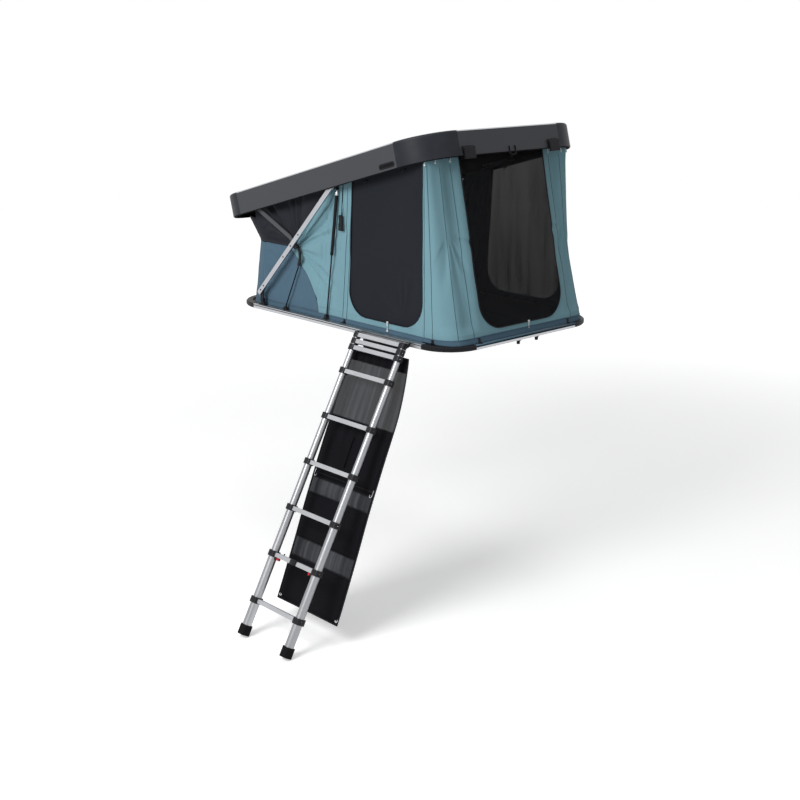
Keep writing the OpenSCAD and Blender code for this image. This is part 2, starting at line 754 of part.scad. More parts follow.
// Rubber lip under the lid's lower edge
module lid_seal() {
    seal_w = 8;
    below = 5;
    above = 4;
    module lip() translate([0, -below]) square([seal_w, below + above]);
    color(black_plastic) on_lid() {
        both_sides() translate([0, -lid_in, 0]) along_x(panel_l) lip();
        for (s = [0, 1]) mirror([s, 0, 0]) translate([panel_t - lid_l / 2, 0, 0]) along_y(end_l) lip();
        four_corners(lid_l, lid_w, lid_r) rotate_extrude(angle = 90, $fn = 96)
            translate([lid_r - corner_wall - seal_w, -below]) square([seal_w, below + above]);
    }
}

// Lift linkage

// Channel bar of an arm, drawn in the arm's own line
module arm_bar() translate([0, bar_off]) rotate(bar_turn) translate([bar_from, -arm_w / 2]) children();

module lift_arms() {
    bolts = [26, 73, cross_d - 170, cross_d - 53, cross_d + 63];
    color(alloy) both_sides() difference() {
        union() {
            side_plate(arm_out - arm_wall, arm_out) on_arm() arm_bar() square([bar_l, arm_w]);
            side_plate(arm_in, arm_out) on_arm() arm_bar() {
                square([bar_l, arm_wall]);
                translate([0, arm_w - arm_wall]) square([bar_l, arm_wall]);
            }
        }
        side_pin(roller_b, pin_r - 1, arm_in, arm_out + 1);
        for (b = bolts) side_plate(arm_in, arm_out + 1) on_arm() arm_bar()
            translate([b + 12, arm_w / 2]) circle(3.5);
    }
}

// Black plates, pins and rollers that belong to the arms
module arm_pivots() {
    roller_r = 10;
    foot_end = [66, 44];
    cross_from = 470;
    cross_l = 190;
    color(black_plastic) both_sides() {
        difference() {
            side_plate(plate_in, arm_in) on_arm() {
                bar_outline([0, 0], foot_end, 30);
                arm_bar() square([90, arm_w]);
            }
            side_pin(pivot_a, pin_r + run, plate_in - 1, arm_in + 1);
        }
        side_plate(plate_in, arm_in) {
            on_arm() arm_bar() translate([cross_from, 0]) square([cross_l, arm_w]);
            translate(cross_p) circle(20);
        }
        side_pin(cross_p, pin_r, tail_out - tail_t - 1, arm_in);
        side_pin(roller_b, pin_r - 1, arm_in, arm_out + 1);
        side_pin(roller_b, roller_r, arm_out + 1, lid_in - 5);
    }
}

module levers() {
    elbow = lever_d + turned([-lever_l + 82, -20], lever_angle);
    color(black_plastic) both_sides() side_plate(lever_in, lever_out) difference() {
        union() {
            bar_outline(lever_d, elbow, lever_w);
            bar_outline(elbow, cross_p, lever_w - 2);
        }
        translate(lever_d) circle(pin_r + run);
        translate(cross_p) circle(pin_r + run);
    }
}

// Curved link that hangs from the crossing pivot
module tail_links() {
    arc_r = 110;
    tail_w = 22;
    half = asin(tail_l / 2 / arc_r);
    middle = (cross_p + tail_end) / 2 + along(tail_angle - 90, arc_r * cos(half));
    color(black_plastic) both_sides() side_plate(tail_out - tail_t, tail_out) difference() {
        union() {
            translate(middle) rotate(tail_angle + 90) intersection() {
                difference() {
                    circle(arc_r + tail_w / 2, $fn = 96);
                    circle(arc_r - tail_w / 2, $fn = 96);
                }
                polygon([[0, 0], along(-half, 2 * arc_r), along(half, 2 * arc_r)]);
            }
            translate(cross_p) circle(tail_w / 2);
            translate(tail_end) circle(tail_w / 2);
        }
        translate(cross_p) circle(pin_r + run);
    }
}

// Places a child that is drawn up the strut from its base pivot
module on_strut() translate([strut_f[0], -strut_y, strut_f[1]]) rotate([0, 90 - strut_angle, 0]) children();

module strut_eye() rotate([90, 0, 0]) cylinder(eye_t, r = eye_r, center = true);

module strut_rods() color(alloy) both_sides() difference() {
    on_strut() {
        strut_eye();
        translate([0, 0, eye_pin_r + 2]) cylinder(rod_l - eye_pin_r - 2, r = rod_r);
    }
    side_pin(strut_f, eye_pin_r + run, strut_y - eye_t, strut_y + eye_t);
}

module strut_tubes() {
    gland = 16;
    end_wall = 4;
    bore_r = strut_r - 1.5;
    color(black_plastic) both_sides() {
        on_strut() translate([0, 0, strut_open]) {
            strut_eye();
            translate([0, 0, -strut_gap - 1]) cylinder(strut_gap - 3, r = rod_r);
            translate([0, 0, -strut_gap - strut_l]) difference() {
                cylinder(strut_l, r = strut_r);
                translate([0, 0, -1]) cylinder(gland + 2, r = rod_r + run);
                translate([0, 0, gland]) cylinder(strut_l - gland - end_wall, r = bore_r);
            }
        }
        side_pin(strut_g, eye_pin_r, strut_y + eye_t / 2 - 1, arm_in - 0.5);
    }
}

// Ladder, drawn upright with the hinge and the top rung at the origin

// Extruded rung with a ribbed tread
module rung_outline() {
    wall = 2;
    rib = 1.2;
    ribs = 5;
    difference() {
        union() {
            square([rung_d, rung_h], center = true);
            for (i = [0 : ribs - 1])
                translate([(i - (ribs - 1) / 2) * rung_d / (ribs + 0.6) - rib / 2, rung_h / 2])
                    square([rib, rib]);
            for (i = [-1 : 1]) translate([-rung_d / 2 - rib, i * rung_h / 3.6 - rib / 2]) square([rib, rib]);
        }
        square([rung_d - 2 * wall, rung_h - 2 * wall], center = true);
    }
}

function collar_w(k) = 2 * (stile_r(k) + collar_margin);

module ladder_section(k) color(alloy) on_ladder() translate([0, 0, -rung_at(k)]) {
    l = k == section_count ? bottom_l : stile_l;
    for (s = [-1, 1]) translate([s * stile_span / 2, 0, -l]) difference() {
        cylinder(l + collar_h / 2 - 8, r = stile_r(k));
        translate([0, 0, -1]) cylinder(l + collar_h / 2, r = stile_r(k) - stile_wall);
    }
    along_x(stile_span - collar_w(k)) rung_outline();
}

module ladder_collars(k) {
    w = collar_w(k);
    lip = 8;
    lug_l = 14;
    color(black_plastic) on_ladder() translate([0, 0, -rung_at(k)]) for (s = [-1, 1])
        translate([s * stile_span / 2, 0, 0]) difference() {
            union() {
                translate([0, 0, -collar_h / 2]) linear_extrude(collar_h) round_plan(w, w, w / 3);
                if (k > 1) translate([s * w / 2, 0, 0]) rotate([0, s * 90, 0]) cylinder(3, r = 8);
                if (k == section_count - 1) translate([-s * (w / 2 + lug_l / 2 - 2), 0, release_z])
                    cube([lug_l, 22, 17], center = true);
            }
            translate([0, 0, -collar_h / 2 - 30]) cylinder(collar_h - lip + 30, r = stile_r(k));
            if (k > 1) cylinder(collar_h, r = stile_r(k - 1) + 0.3);
            if (k == 1)
                translate([s * w / 2, 0, 0]) rotate([0, 90, 0])
                    cylinder(30, r = hinge_r + run, center = true);
            if (k == section_count - 1) translate([-s * w / 2, 0, release_z]) rotate([0, 90, 0])
                cylinder(60, r = release_r + run, center = true);
        }
}

// Red thumb buttons under the ends of the second rung from the bottom
release_r = 4;
release_z = -rung_h / 2 - 10.5;
module release(s) {
    k = section_count - 1;
    button = [13, 20, 15];
    travel = 6;
    face = stile_span / 2 - collar_w(k) / 2 - 12;
    color(release_red) on_ladder() translate([0, 0, -rung_at(k)]) {
        translate([s * (face - travel - button[0] / 2), 0, release_z]) cube(button, center = true);
        translate([s * (face - travel / 2 + 3), 0, release_z]) rotate([0, 90, 0])
            cylinder(travel + 6, r = release_r, center = true);
    }
}

module release_left() release(-1);
module release_right() release(1);

// Slanted rubber feet on the bottom section
module ladder_feet() {
    r = stile_r(section_count);
    plug = 18;
    color(black_plastic) on_ladder() translate([0, 0, -rung_at(section_count) - bottom_l])
        for (s = [-1, 1]) translate([s * stile_span / 2, 0, 0]) difference() {
            union() {
                translate([0, 0, -foot_h]) linear_extrude(foot_h + plug)
                    round_plan(2 * r + 8, 2 * r + 8, r * 0.7);
            }
            cylinder(plug + 1, r = r);
            translate([0, 0, -foot_h]) rotate([ladder_lean, 0, 0])
                translate([0, 0, -60 - r * sin(ladder_lean)])
                cube([4 * r, 6 * r, 120], center = true);
        }
}

// Hanging organiser behind the ladder: pleated cloth on two straps from the top rung
organiser_top = -62;
organiser_back = 52;
organiser_fall = 0.105;
module organiser() {
    strap_w = 38;
    pleats = 7;
    function fold(u, t) = 9 * (1 - cos(360 * pleats * u)) * min(1, 7 * t) * (1 - 0.75 * t);
    function spread(t) = organiser_w * (1 - 0.18 * pow(max(0, 1 - 4 * t), 2));
    place = function (p, d) [
        organiser_shift + (p[0] - 0.5) * spread(p[1]),
        organiser_back + organiser_fall * organiser_l * p[1] + d + fold(p[0], p[1]),
        organiser_top - organiser_l * p[1]];
    color(dark_cloth) on_ladder() {
        sheet(place, function (t) [0, t], function (t) [1, t], 56, 7, 4, true);
        for (s = [-1, 1]) translate([s * stile_span / 4, 0, 0]) along_x(strap_w)
            polygon([[rung_d / 2, 10], [rung_d / 2 + 3, 10], [rung_d / 2 + 3, -12],
                [organiser_back - 0.3, organiser_top], [organiser_back - 0.3, organiser_top - 10],
                [rung_d / 2, -13]]);
    }
}

floor_panel();
side_rails();
end_rails();
base_corners();
mounting_channels();
mattress();
base_brackets();
ladder_bracket();
side_walls();
rear_wall();
front_wall();
front_hood();
side_doors();
rear_window();
skirt();
stay_straps();
roof_panel();
lid_side_panels();
lid_end_panels();
lid_corners();
lid_trims();
headliner();
lid_tracks();
lid_pivots();
pull_handles();
latch_plates();
pull_loop();
lid_seal();
lift_arms();
arm_pivots();
levers();
tail_links();
strut_rods();
strut_tubes();
latch_left();
latch_right();
for (k = [1 : section_count]) {
    ladder_section(k);
    ladder_collars(k);
}
ladder_feet();
organiser();
release_left();
release_right();
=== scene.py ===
"""Hard-shell roof top tent with a telescopic ladder: finishes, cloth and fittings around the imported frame."""
from math import atan2, cos, exp, hypot, pi, radians, sin, sqrt, tan

import bmesh
import bpy
from mathutils import Matrix, Vector


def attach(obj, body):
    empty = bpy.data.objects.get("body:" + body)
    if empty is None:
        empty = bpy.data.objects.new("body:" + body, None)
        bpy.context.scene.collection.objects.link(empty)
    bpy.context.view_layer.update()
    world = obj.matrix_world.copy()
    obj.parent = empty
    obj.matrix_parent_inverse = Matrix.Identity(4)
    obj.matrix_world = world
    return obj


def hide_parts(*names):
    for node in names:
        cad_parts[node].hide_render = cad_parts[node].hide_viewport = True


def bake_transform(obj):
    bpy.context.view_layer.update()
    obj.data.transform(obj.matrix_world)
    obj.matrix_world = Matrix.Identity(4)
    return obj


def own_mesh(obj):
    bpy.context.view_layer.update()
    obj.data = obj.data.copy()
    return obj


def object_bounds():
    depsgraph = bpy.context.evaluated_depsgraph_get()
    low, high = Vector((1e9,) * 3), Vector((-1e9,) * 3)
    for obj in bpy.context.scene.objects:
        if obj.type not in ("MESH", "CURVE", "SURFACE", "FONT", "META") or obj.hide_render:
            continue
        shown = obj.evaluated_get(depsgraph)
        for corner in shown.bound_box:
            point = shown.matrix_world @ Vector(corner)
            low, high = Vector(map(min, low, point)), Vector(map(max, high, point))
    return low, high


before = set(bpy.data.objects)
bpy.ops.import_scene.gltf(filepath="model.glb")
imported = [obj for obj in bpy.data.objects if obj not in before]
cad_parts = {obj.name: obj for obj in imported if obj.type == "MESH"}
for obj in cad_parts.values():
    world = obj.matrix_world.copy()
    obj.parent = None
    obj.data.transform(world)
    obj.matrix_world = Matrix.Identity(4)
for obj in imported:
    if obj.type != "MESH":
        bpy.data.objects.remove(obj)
cad_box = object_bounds()
scene = bpy.context.scene
scene.view_settings.view_transform = "Standard"

# Sizes of the frame, in metres
BASE_L, BASE_W, BASE_R = 2.150, 1.390, 0.236
BASE_TOP = 0.060
FLOOR_TOP = 0.052
LID_L, LID_W = 2.176, 1.432
LID_AT = (-0.139069, 0.887068)
LID_TILT = radians(15.3)
LIFT_ANGLE = radians(47.8)
PIVOT = (-0.758, 0.094)
STRUT_FOOT = (-0.100, 0.082)
STRUT_ANGLE = radians(81.7276)
STRUT_OPEN = 0.851947
STRUT_Y = 0.650
WALL_Y = 0.637
REAR_FOOT, REAR_LEAN = 1.056, 0.215
CORNER_X, CORNER_Y, CORNER_ARC = 0.793, 0.250, 0.330
FLARE, FLARE_H = 1.6, 0.500
FRONT_FOOT, FRONT_WAIST, WAIST_Z, FRONT_R, FRONT_ARC = 1.026, 0.080, 0.492, 0.200, 0.310
FRONT_OUT = 0.036
FRONT_TOP = FRONT_FOOT + FRONT_OUT
SEAM_Z, SEAM_DROP, REAR_DROP_SHARE = 0.105, 0.018, 0.45
DOOR_FRONT, DOOR_REAR, DOOR_SLANT = 0.108, 0.783, 0.054
SILL_Z, SILL_R = 0.128, 0.165
WINDOW_Y = 0.374
TUCK = 0.014
SIDES = (("left", -1), ("right", 1))
CLOTH_GAP, CLOTH_THICK, OPENING_GAP = 0.0005, 0.0016, 0.002
REAR_FLAT = WALL_Y - CORNER_Y
REAR_END = REAR_FLAT + CORNER_ARC
FRONT_FLAT = WALL_Y - FRONT_R
FRONT_END = FRONT_FLAT + FRONT_ARC
LADDER_HINGE = (0.505, -0.727, 0.034)
LADDER_LEAN = radians(28.75)
STILE_SPAN, STILE_R, STILE_STEP = 0.420, 0.017, 0.0015
RUNG_AT = (0, 0.042, 0.084, 0.242, 0.547, 0.852, 1.157, 1.462, 1.767)
BAG_W, BAG_L, BAG_SHIFT = 0.580, 1.660, 0.005
BAG_TOP, BAG_BACK, BAG_FALL = -0.062, 0.052, 0.105

ALONG_X, ALONG_Y, ALONG_Z = Vector((1, 0, 0)), Vector((0, 1, 0)), Vector((0, 0, 1))


def moved(place):
    return Matrix.Translation(place)


def turned(angle, axis):
    return Matrix.Rotation(angle, 4, axis)


LID_TURN = turned(-LID_TILT, "Y")
LIFT_TURN = turned(-LIFT_ANGLE, "Y")
LADDER_TURN = turned(-LADDER_LEAN, "X")


def on_lid(x, y, h):
    """A point that is measured on the closed lid's lower plane, on the open lid."""
    return Vector((LID_AT[0], 0, LID_AT[1])) + LID_TURN @ Vector((x, y, h))


def on_ladder(x, y, z):
    """A point that is measured on the upright ladder from its hinge."""
    return Vector(LADDER_HINGE) + LADDER_TURN @ Vector((x, y, z))


def mix(a, b, t):
    return a + (b - a) * t


def smooth(a, b, x):
    t = min(1, max(0, (x - a) / (b - a)))
    return t * t * (3 - 2 * t)


def bell(x, middle, width):
    return exp(-((x - middle) / width) ** 2)


# Shader values

class Wire:
    """A number in a node tree. Arithmetic on it adds Math nodes."""

    def __init__(self, finish, socket):
        self.finish = finish
        self.socket = socket

    def _with(self, operation, a, b=None):
        values = {0: a} if b is None else {0: a, 1: b}
        return self.finish.node("ShaderNodeMath", {"operation": operation}, values)

    def __add__(self, other):
        return self._with("ADD", self, other)

    def __sub__(self, other):
        return self._with("SUBTRACT", self, other)

    def __rsub__(self, other):
        return self._with("SUBTRACT", other, self)

    def __mul__(self, other):
        return self._with("MULTIPLY", self, other)

    def __abs__(self):
        return self._with("ABSOLUTE", self)

    __radd__ = __add__
    __rmul__ = __mul__

    def sine(self):
        return self._with("SINE", self)

    def or_more(self, other):
        return self._with("MAXIMUM", self, other)


class Finish:
    """One material: a Principled shader and the nodes that feed it."""

    def __init__(self, name, **sockets):
        self.material = bpy.data.materials.new(name)
        self.material.use_nodes = True
        self.tree = self.material.node_tree
        self.shader = self.tree.nodes["Principled BSDF"]
        self.set(**sockets)

    def put(self, socket, value):
        if isinstance(value, Wire):
            self.tree.links.new(value.socket, socket)
        elif hasattr(value, "__len__") and len(value) == 3 and len(socket.default_value) == 4:
            socket.default_value = (*value, 1)
        else:
            socket.default_value = value

    def set(self, **sockets):
        for name, value in sockets.items():
            self.put(self.shader.inputs[name.replace("_", " ")], value)

    def node(self, kind, settings=None, values=None, out=0):
        made = self.tree.nodes.new(kind)
        for name, value in (settings or {}).items():
            if name == "stops":
                ramp = made.color_ramp.elements
                while len(ramp) < len(value):
                    ramp.new(1)
                for element, (place, shade) in zip(ramp, value):
                    element.position = place
                    element.color = (shade, shade, shade, 1)
            else:
                setattr(made, name, value)
        for name, value in (values or {}).items():
            self.put(made.inputs[name], value)
        return Wire(self, made.outputs[out])

    def place(self, source="Object", scale=(1, 1, 1), turn=(0, 0, 0)):
        coordinates = self.node("ShaderNodeTexCoord", out=source)
        return self.node("ShaderNodeMapping", None, {"Vector": coordinates, "Rotation": turn, "Scale": scale})

    def noise(self, scale, detail=3, source="Object", stretch=(1, 1, 1), turn=(0, 0, 0), rough=0.5):
        where = self.place(source, stretch, turn)
        return self.node("ShaderNodeTexNoise", None,
                         {"Vector": where, "Scale": scale, "Detail": detail, "Roughness": rough})

    def axis(self, name, source="Object"):
        coordinates = self.node("ShaderNodeTexCoord", out=source)
        return self.node("ShaderNodeSeparateXYZ", None, {"Vector": coordinates}, out=name)

    def ramp(self, value, *stops):
        return self.node("ShaderNodeValToRGB", {"stops": stops}, {"Fac": value})

    def blend(self, factor, a, b):
        """Mix of two colours. The node's sockets share their names, so they go by number."""
        return self.node("ShaderNodeMix", {"data_type": "RGBA"}, {0: factor, 6: a, 7: b}, out=2)

    def bump(self, height, strength, distance):
        values = {"Height": height, "Strength": strength, "Distance": distance}
        self.set(Normal=self.node("ShaderNodeBump", None, values))


def tinted(colour, share):
    return tuple(min(1, c * share) for c in colour)


def alloy_finish(name, colour, grain_stretch, turn=(0, 0, 0), painted_bar_shade=None):
    """Drawn aluminium: long fine lines along the bar, with matt patches from handling.

    The last argument, (middle, reach, share), paints it darker where X is further than reach from the middle:
    painted shade, for bars that catch less light than the rest.
    """
    f = Finish(name, Metallic=1.0)
    lines = f.noise(900, 2, stretch=grain_stretch, turn=turn)
    patches = f.noise(7, 4)
    wear = patches * 0.5 + lines * 0.3
    shade = f.blend(wear, tinted(colour, 0.90), tinted(colour, 1.06))
    # Painted shade: beyond reach from the middle, the same metal is painted darker by share.
    if painted_bar_shade:
        middle, reach, share = painted_bar_shade
        outer = f.ramp(abs(f.axis("X") - middle), (reach, 0), (reach + 0.004, 1))
        dark = f.blend(wear, tinted(colour, 0.90 * share), tinted(colour, 1.06 * share))
        shade = f.blend(outer, shade, dark)
    f.set(Base_Color=shade)
    f.set(Roughness=0.30 + lines * 0.10 + f.ramp(patches, (0.45, 0), (0.75, 1)) * 0.10)
    f.bump(lines, 0.10, 0.0004)
    return f.material


def paint_finish(name, colour, rough):
    """Powder coat: fine orange peel, faint cloudy shine and dust in the low frequencies."""
    f = Finish(name, Specular_IOR_Level=0.30)
    peel = f.noise(700, 2)
    cloud = f.noise(2.2, 4)
    f.set(Base_Color=f.blend(cloud, tinted(colour, 0.88), tinted(colour, 1.14)))
    f.set(Roughness=rough - 0.05 + cloud * 0.10 + peel * 0.06)
    f.bump(peel, 0.16, 0.0006)
    return f.material


def plastic_finish(name, colour, rough, grain=1.0, shine=0.14):
    """Moulded plastic: spark-eroded grain, slightly paler where hands rub it."""
    f = Finish(name, Specular_IOR_Level=shine)
    cells = f.node("ShaderNodeTexVoronoi", {"feature": "SMOOTH_F1"}, {"Vector": f.place(), "Scale": 520.0})
    rubbed = f.noise(9, 4)
    f.set(Base_Color=f.blend(f.ramp(rubbed, (0.4, 0), (0.8, 1)), colour, tinted(colour, 1.45)))
    f.set(Roughness=rough + cells * 0.10 - rubbed * 0.08)
    f.bump(cells, 0.22 * grain, 0.0005)
    return f.material


def cloth_finish(name, colour, pitch=0.0011, soil_and_crease_shade=0.10, sheen=0.02, shine=0.12):
    """Coated canvas: a plain weave on the cloth's own UV map, slubs, and soil with soft creases painted in
    colour as painted crease shade.
    """
    f = Finish(name, Sheen_Weight=sheen, Sheen_Roughness=0.5, Specular_IOR_Level=shine)
    rate = 2 * pi / pitch
    warp = (f.axis("X", "UV") * rate).sine()
    weft = (f.axis("Y", "UV") * rate).sine()
    weave = warp * weft
    slubs = f.noise(260, 2, "UV", (1, 0.08, 1))
    # Soil and painted crease shade: soft stretched blotches, lighter and darker.
    crease_shade_and_soil = f.noise(5, 5, "UV", (1.0, 0.45, 1), (0, 0, 0.5), 0.6)
    shade = f.blend(crease_shade_and_soil, tinted(colour, 1 - soil_and_crease_shade), tinted(colour, 1 + soil_and_crease_shade))
    shade = f.blend(f.ramp(slubs, (0.55, 0), (0.8, 1)) * 0.35, shade, tinted(colour, 1.22))
    f.set(Base_Color=shade)
    f.set(Roughness=0.74 + slubs * 0.12 + weave * 0.03)
    f.bump(weave * 0.35 + slubs * 0.5 + f.noise(60, 3, "UV") * 1.2, 0.30, 0.0010)
    return f.material


NET_PITCH = 0.0024


def net_finish(name, colour, clear, painted_fold_sheen=0.0, fold=0.0):
    """Insect mesh: dark open yarn, with its holes as an even see-through share and gathers down it that are
    painted paler, a painted sheen on the folds.
    """
    f = Finish(name, Roughness=0.8, Specular_IOR_Level=0.10)
    rate = 2 * pi / NET_PITCH
    yarn = abs((f.axis("X", "UV") * rate).sine()) * abs((f.axis("Y", "UV") * rate).sine())
    wear = f.noise(4, 4, "UV")
    shade = f.blend(yarn * 0.5 + wear * 0.5, tinted(colour, 0.7), tinted(colour, 1.5))
    gathers = f.ramp(f.noise(16, 3, "UV", (1, 0.09, 1), (0, 0, 0.03)), (0.44, 0), (0.68, 1))
    # Painted sheen: the gathers are painted up to 3.6 times paler.
    f.set(Base_Color=f.blend(gathers * painted_fold_sheen, shade, tinted(colour, 3.6)))
    low = f.ramp(f.axis("Y", "UV"), (0.25, 1), (1.0, 0))
    f.set(Alpha=(low + gathers * 0.6) * (fold * clear) + (1 - clear))
    f.bump(yarn + wear, 0.25, 0.0008)
    return f.material


def webbing_finish(name, colour):
    """Woven strap: narrow ribs across and a fine herringbone."""
    f = Finish(name, Sheen_Weight=0.03, Specular_IOR_Level=0.2)
    ribs = (f.axis("Z") * 2400.0).sine() + (f.axis("X") * 1900.0).sine()
    fuzz = f.noise(300, 3)
    f.set(Base_Color=f.blend(fuzz, tinted(colour, 0.75), tinted(colour, 1.5)))
    f.set(Roughness=0.68 + fuzz * 0.15)
    f.bump(ribs * 0.5 + fuzz, 0.3, 0.0007)
    return f.material


SILVER = (0.53, 0.54, 0.56)
rail_silver_x = alloy_finish("rail_silver_x", SILVER, (0.02, 1, 1))
rail_silver_y = alloy_finish("rail_silver_y", SILVER, (1, 0.02, 1))
# Painted shade: the ladder's stiles are painted a third darker than its rungs, whose faces catch more light.
ladder_silver = alloy_finish("ladder_silver", (0.50, 0.51, 0.53), (1, 1, 0.02), (LADDER_LEAN, 0, 0),
                             painted_bar_shade=(LADDER_HINGE[0], 0.183, 0.66))
arm_silver = alloy_finish("arm_silver", (0.50, 0.51, 0.54), (0.02, 1, 1), (0, LIFT_ANGLE, 0))
rod_black = alloy_finish("rod_black", (0.030, 0.030, 0.034), (1, 1, 0.02))
screw_silver = alloy_finish("screw_silver", (0.66, 0.66, 0.66), (1, 1, 1))
charcoal_paint = paint_finish("charcoal_paint", (0.030, 0.032, 0.038), 0.42)
# Painted reflection: the lid's side panels take the charcoal paint painted a third brighter, for the light they
# reflect.
side_paint_with_painted_reflection = paint_finish("side_paint_with_painted_reflection", (0.041, 0.044, 0.051), 0.42)
lever_paint = paint_finish("lever_paint", (0.058, 0.061, 0.068), 0.45)
roof_paint = paint_finish("roof_paint", (0.030, 0.032, 0.038), 0.50)
corner_plastic = plastic_finish("corner_plastic", (0.013, 0.015, 0.020), 0.46, 0.8, 0.18)
fitting_plastic = plastic_finish("fitting_plastic", (0.008, 0.008, 0.010), 0.45)
collar_plastic = plastic_finish("collar_plastic", (0.010, 0.010, 0.012), 0.40, shine=0.2)
red_plastic = plastic_finish("red_plastic", (0.56, 0.018, 0.022), 0.28, 0.4, 0.3)
pale_plastic = plastic_finish("pale_plastic", (0.62, 0.65, 0.66), 0.45, 0.4, 0.3)
# Painted shade: near-black for the inside of gaps, grooves and slits.
painted_gap_shade = plastic_finish("painted_gap_shade", (0.001, 0.001, 0.001), 0.95)
seal_rubber = plastic_finish("seal_rubber", (0.006, 0.006, 0.007), 0.70, shine=0.08)
floor_board = plastic_finish("floor_board", (0.030, 0.030, 0.034), 0.60)
teal_canvas = cloth_finish("teal_canvas", (0.185, 0.345, 0.400), sheen=0.12)
slate_canvas = cloth_finish("slate_canvas", (0.078, 0.143, 0.200), sheen=0.10)
# Thread colour of the corner seams, also used on the side walls' fold lines as painted shade.
teal_thread_and_fold_shade = cloth_finish("teal_thread_and_fold_shade", (0.070, 0.130, 0.155))
hood_canvas = cloth_finish("hood_canvas", (0.022, 0.023, 0.029), soil_and_crease_shade=0.2)
door_canvas = cloth_finish("door_canvas", (0.013, 0.015, 0.020), soil_and_crease_shade=0.12)
liner_canvas = cloth_finish("liner_canvas", (0.030, 0.030, 0.034))
mattress_cover = cloth_finish("mattress_cover", (0.075, 0.105, 0.130), 0.002)
bag_canvas = cloth_finish("bag_canvas", (0.006, 0.006, 0.008), soil_and_crease_shade=0.2, shine=0.06)
bag_net = net_finish("bag_net", (0.017, 0.018, 0.021), 0.05, 0.85)
band_net = net_finish("band_net", (0.040, 0.041, 0.046), 0.0, 0.45)
window_net = net_finish("window_net", (0.005, 0.005, 0.006), 0.21)
door_net = net_finish("door_net", (0.008, 0.008, 0.010), 0.17, fold=0.5)
black_webbing = webbing_finish("black_webbing", (0.010, 0.010, 0.012))

SECTIONS = range(1, 10)
NODES_BY_FINISH = (
    (floor_board, "floor_panel"),
    (rail_silver_x, "side_rails mounting_channels lid_trims lid_tracks"),
    (rail_silver_y, "end_rails"),
    (fitting_plastic, "base_corners base_brackets ladder_bracket lid_pivots pull_handles latch_plates"),
    (fitting_plastic, "arm_pivots tail_links strut_tubes latch_left latch_right"),
    (roof_paint, "roof_panel"),
    (side_paint_with_painted_reflection, "lid_side_panels"),
    (charcoal_paint, "lid_end_panels"),
    (corner_plastic, "lid_corners"),
    (liner_canvas, "headliner"),
    (seal_rubber, "lid_seal ladder_feet"),
    (arm_silver, "lift_arms"),
    (lever_paint, "levers"),
    (rod_black, "strut_rods"),
    (red_plastic, "release_left release_right"),
    (ladder_silver, " ".join(f"ladder_section_{k}" for k in SECTIONS)),
    (collar_plastic, " ".join(f"ladder_collars_{k}" for k in SECTIONS)),
)
for finish, nodes in NODES_BY_FINISH:
    for node in nodes.split():
        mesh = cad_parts[node].data
        mesh.materials.clear()
        mesh.materials.append(finish)


# Making pieces

def keep_piece(name, bm, *finishes, flat=False):
    mesh = bpy.data.meshes.new(name)
    bm.to_mesh(mesh)
    bm.free()
    for finish in finishes:
        mesh.materials.append(finish)
    for face in mesh.polygons:
        face.use_smooth = not flat
    piece = bpy.data.objects.new(name, mesh)
    scene.collection.objects.link(piece)
    return piece


def outwards(point):
    """Away from the tent's middle."""
    return Vector((point.x * 0.4, point.y, 0.15))


def lay_patch(bm, place, first, last, cols, rows, outward=outwards, finish=0):
    """Grid between two edge curves: place maps a spot on the cloth to a point. The UV map keeps the spot."""
    uv = bm.loops.layers.uv.verify()
    made = bmesh.ops.create_grid(bm, x_segments=cols, y_segments=rows, size=0.5)["verts"]
    spots = {}
    for vert in made:
        s, t = vert.co.x + 0.5, vert.co.y + 0.5
        a, b = first(t), last(t)
        spots[vert] = (mix(a[0], b[0], s), mix(a[1], b[1], s))
        vert.co = place(*spots[vert])
    faces = list({face for vert in made for face in vert.link_faces})
    for face in faces:
        face.material_index = finish
        for loop in face.loops:
            loop[uv].uv = spots[loop.vert]
    bm.normal_update()
    if sum(face.normal.dot(outward(face.calc_center_median())) for face in faces) < 0:
        bmesh.ops.reverse_faces(bm, faces=faces)


def weld(bm, reach):
    bmesh.ops.remove_doubles(bm, verts=bm.verts, dist=reach)


def thicken(piece):
    solid = piece.modifiers.new("thickness", "SOLIDIFY")
    solid.thickness = CLOTH_THICK
    solid.offset = -1
    return piece


def tube(name, lines, radius, finish, closed=False):
    """Round piping along one or more lines of points."""
    curve = bpy.data.curves.new(name, "CURVE")
    curve.dimensions = "3D"
    curve.bevel_depth = radius
    curve.bevel_resolution = 2
    curve.use_fill_caps = True
    for points in lines:
        spline = curve.splines.new("POLY")
        spline.points.add(len(points) - 1)
        for knot, point in zip(spline.points, points):
            knot.co = (*point, 1)
        spline.use_cyclic_u = closed
    holder = bpy.data.objects.new(name, curve)
    scene.collection.objects.link(holder)
    bpy.context.view_layer.update()
    mesh = bpy.data.meshes.new_from_object(holder.evaluated_get(bpy.context.evaluated_depsgraph_get()))
    bpy.data.objects.remove(holder)
    bpy.data.curves.remove(curve)
    bm = bmesh.new()
    bm.from_mesh(mesh)
    bpy.data.meshes.remove(mesh)
    weld(bm, 1e-6)
    bmesh.ops.recalc_face_normals(bm, faces=bm.faces)
    return keep_piece(name, bm, finish)


def ribbon(bm, points, across, thick, width):
    """Flat strap through points: a strip of faces that is given its thickness."""
    last = len(points) - 1
    made = bmesh.ops.create_grid(bm, x_segments=2, y_segments=last, size=0.5)["verts"]
    for vert in made:
        i = round((vert.co.y + 0.5) * last)
        along = points[min(last, i + 1)] - points[max(0, i - 1)]
        side = across - across.project(along)
        vert.co = points[i] + side.normalized() * (vert.co.x * width)
    faces = list({face for vert in made for face in vert.link_faces})
    bmesh.ops.solidify(bm, geom=faces, thickness=thick)


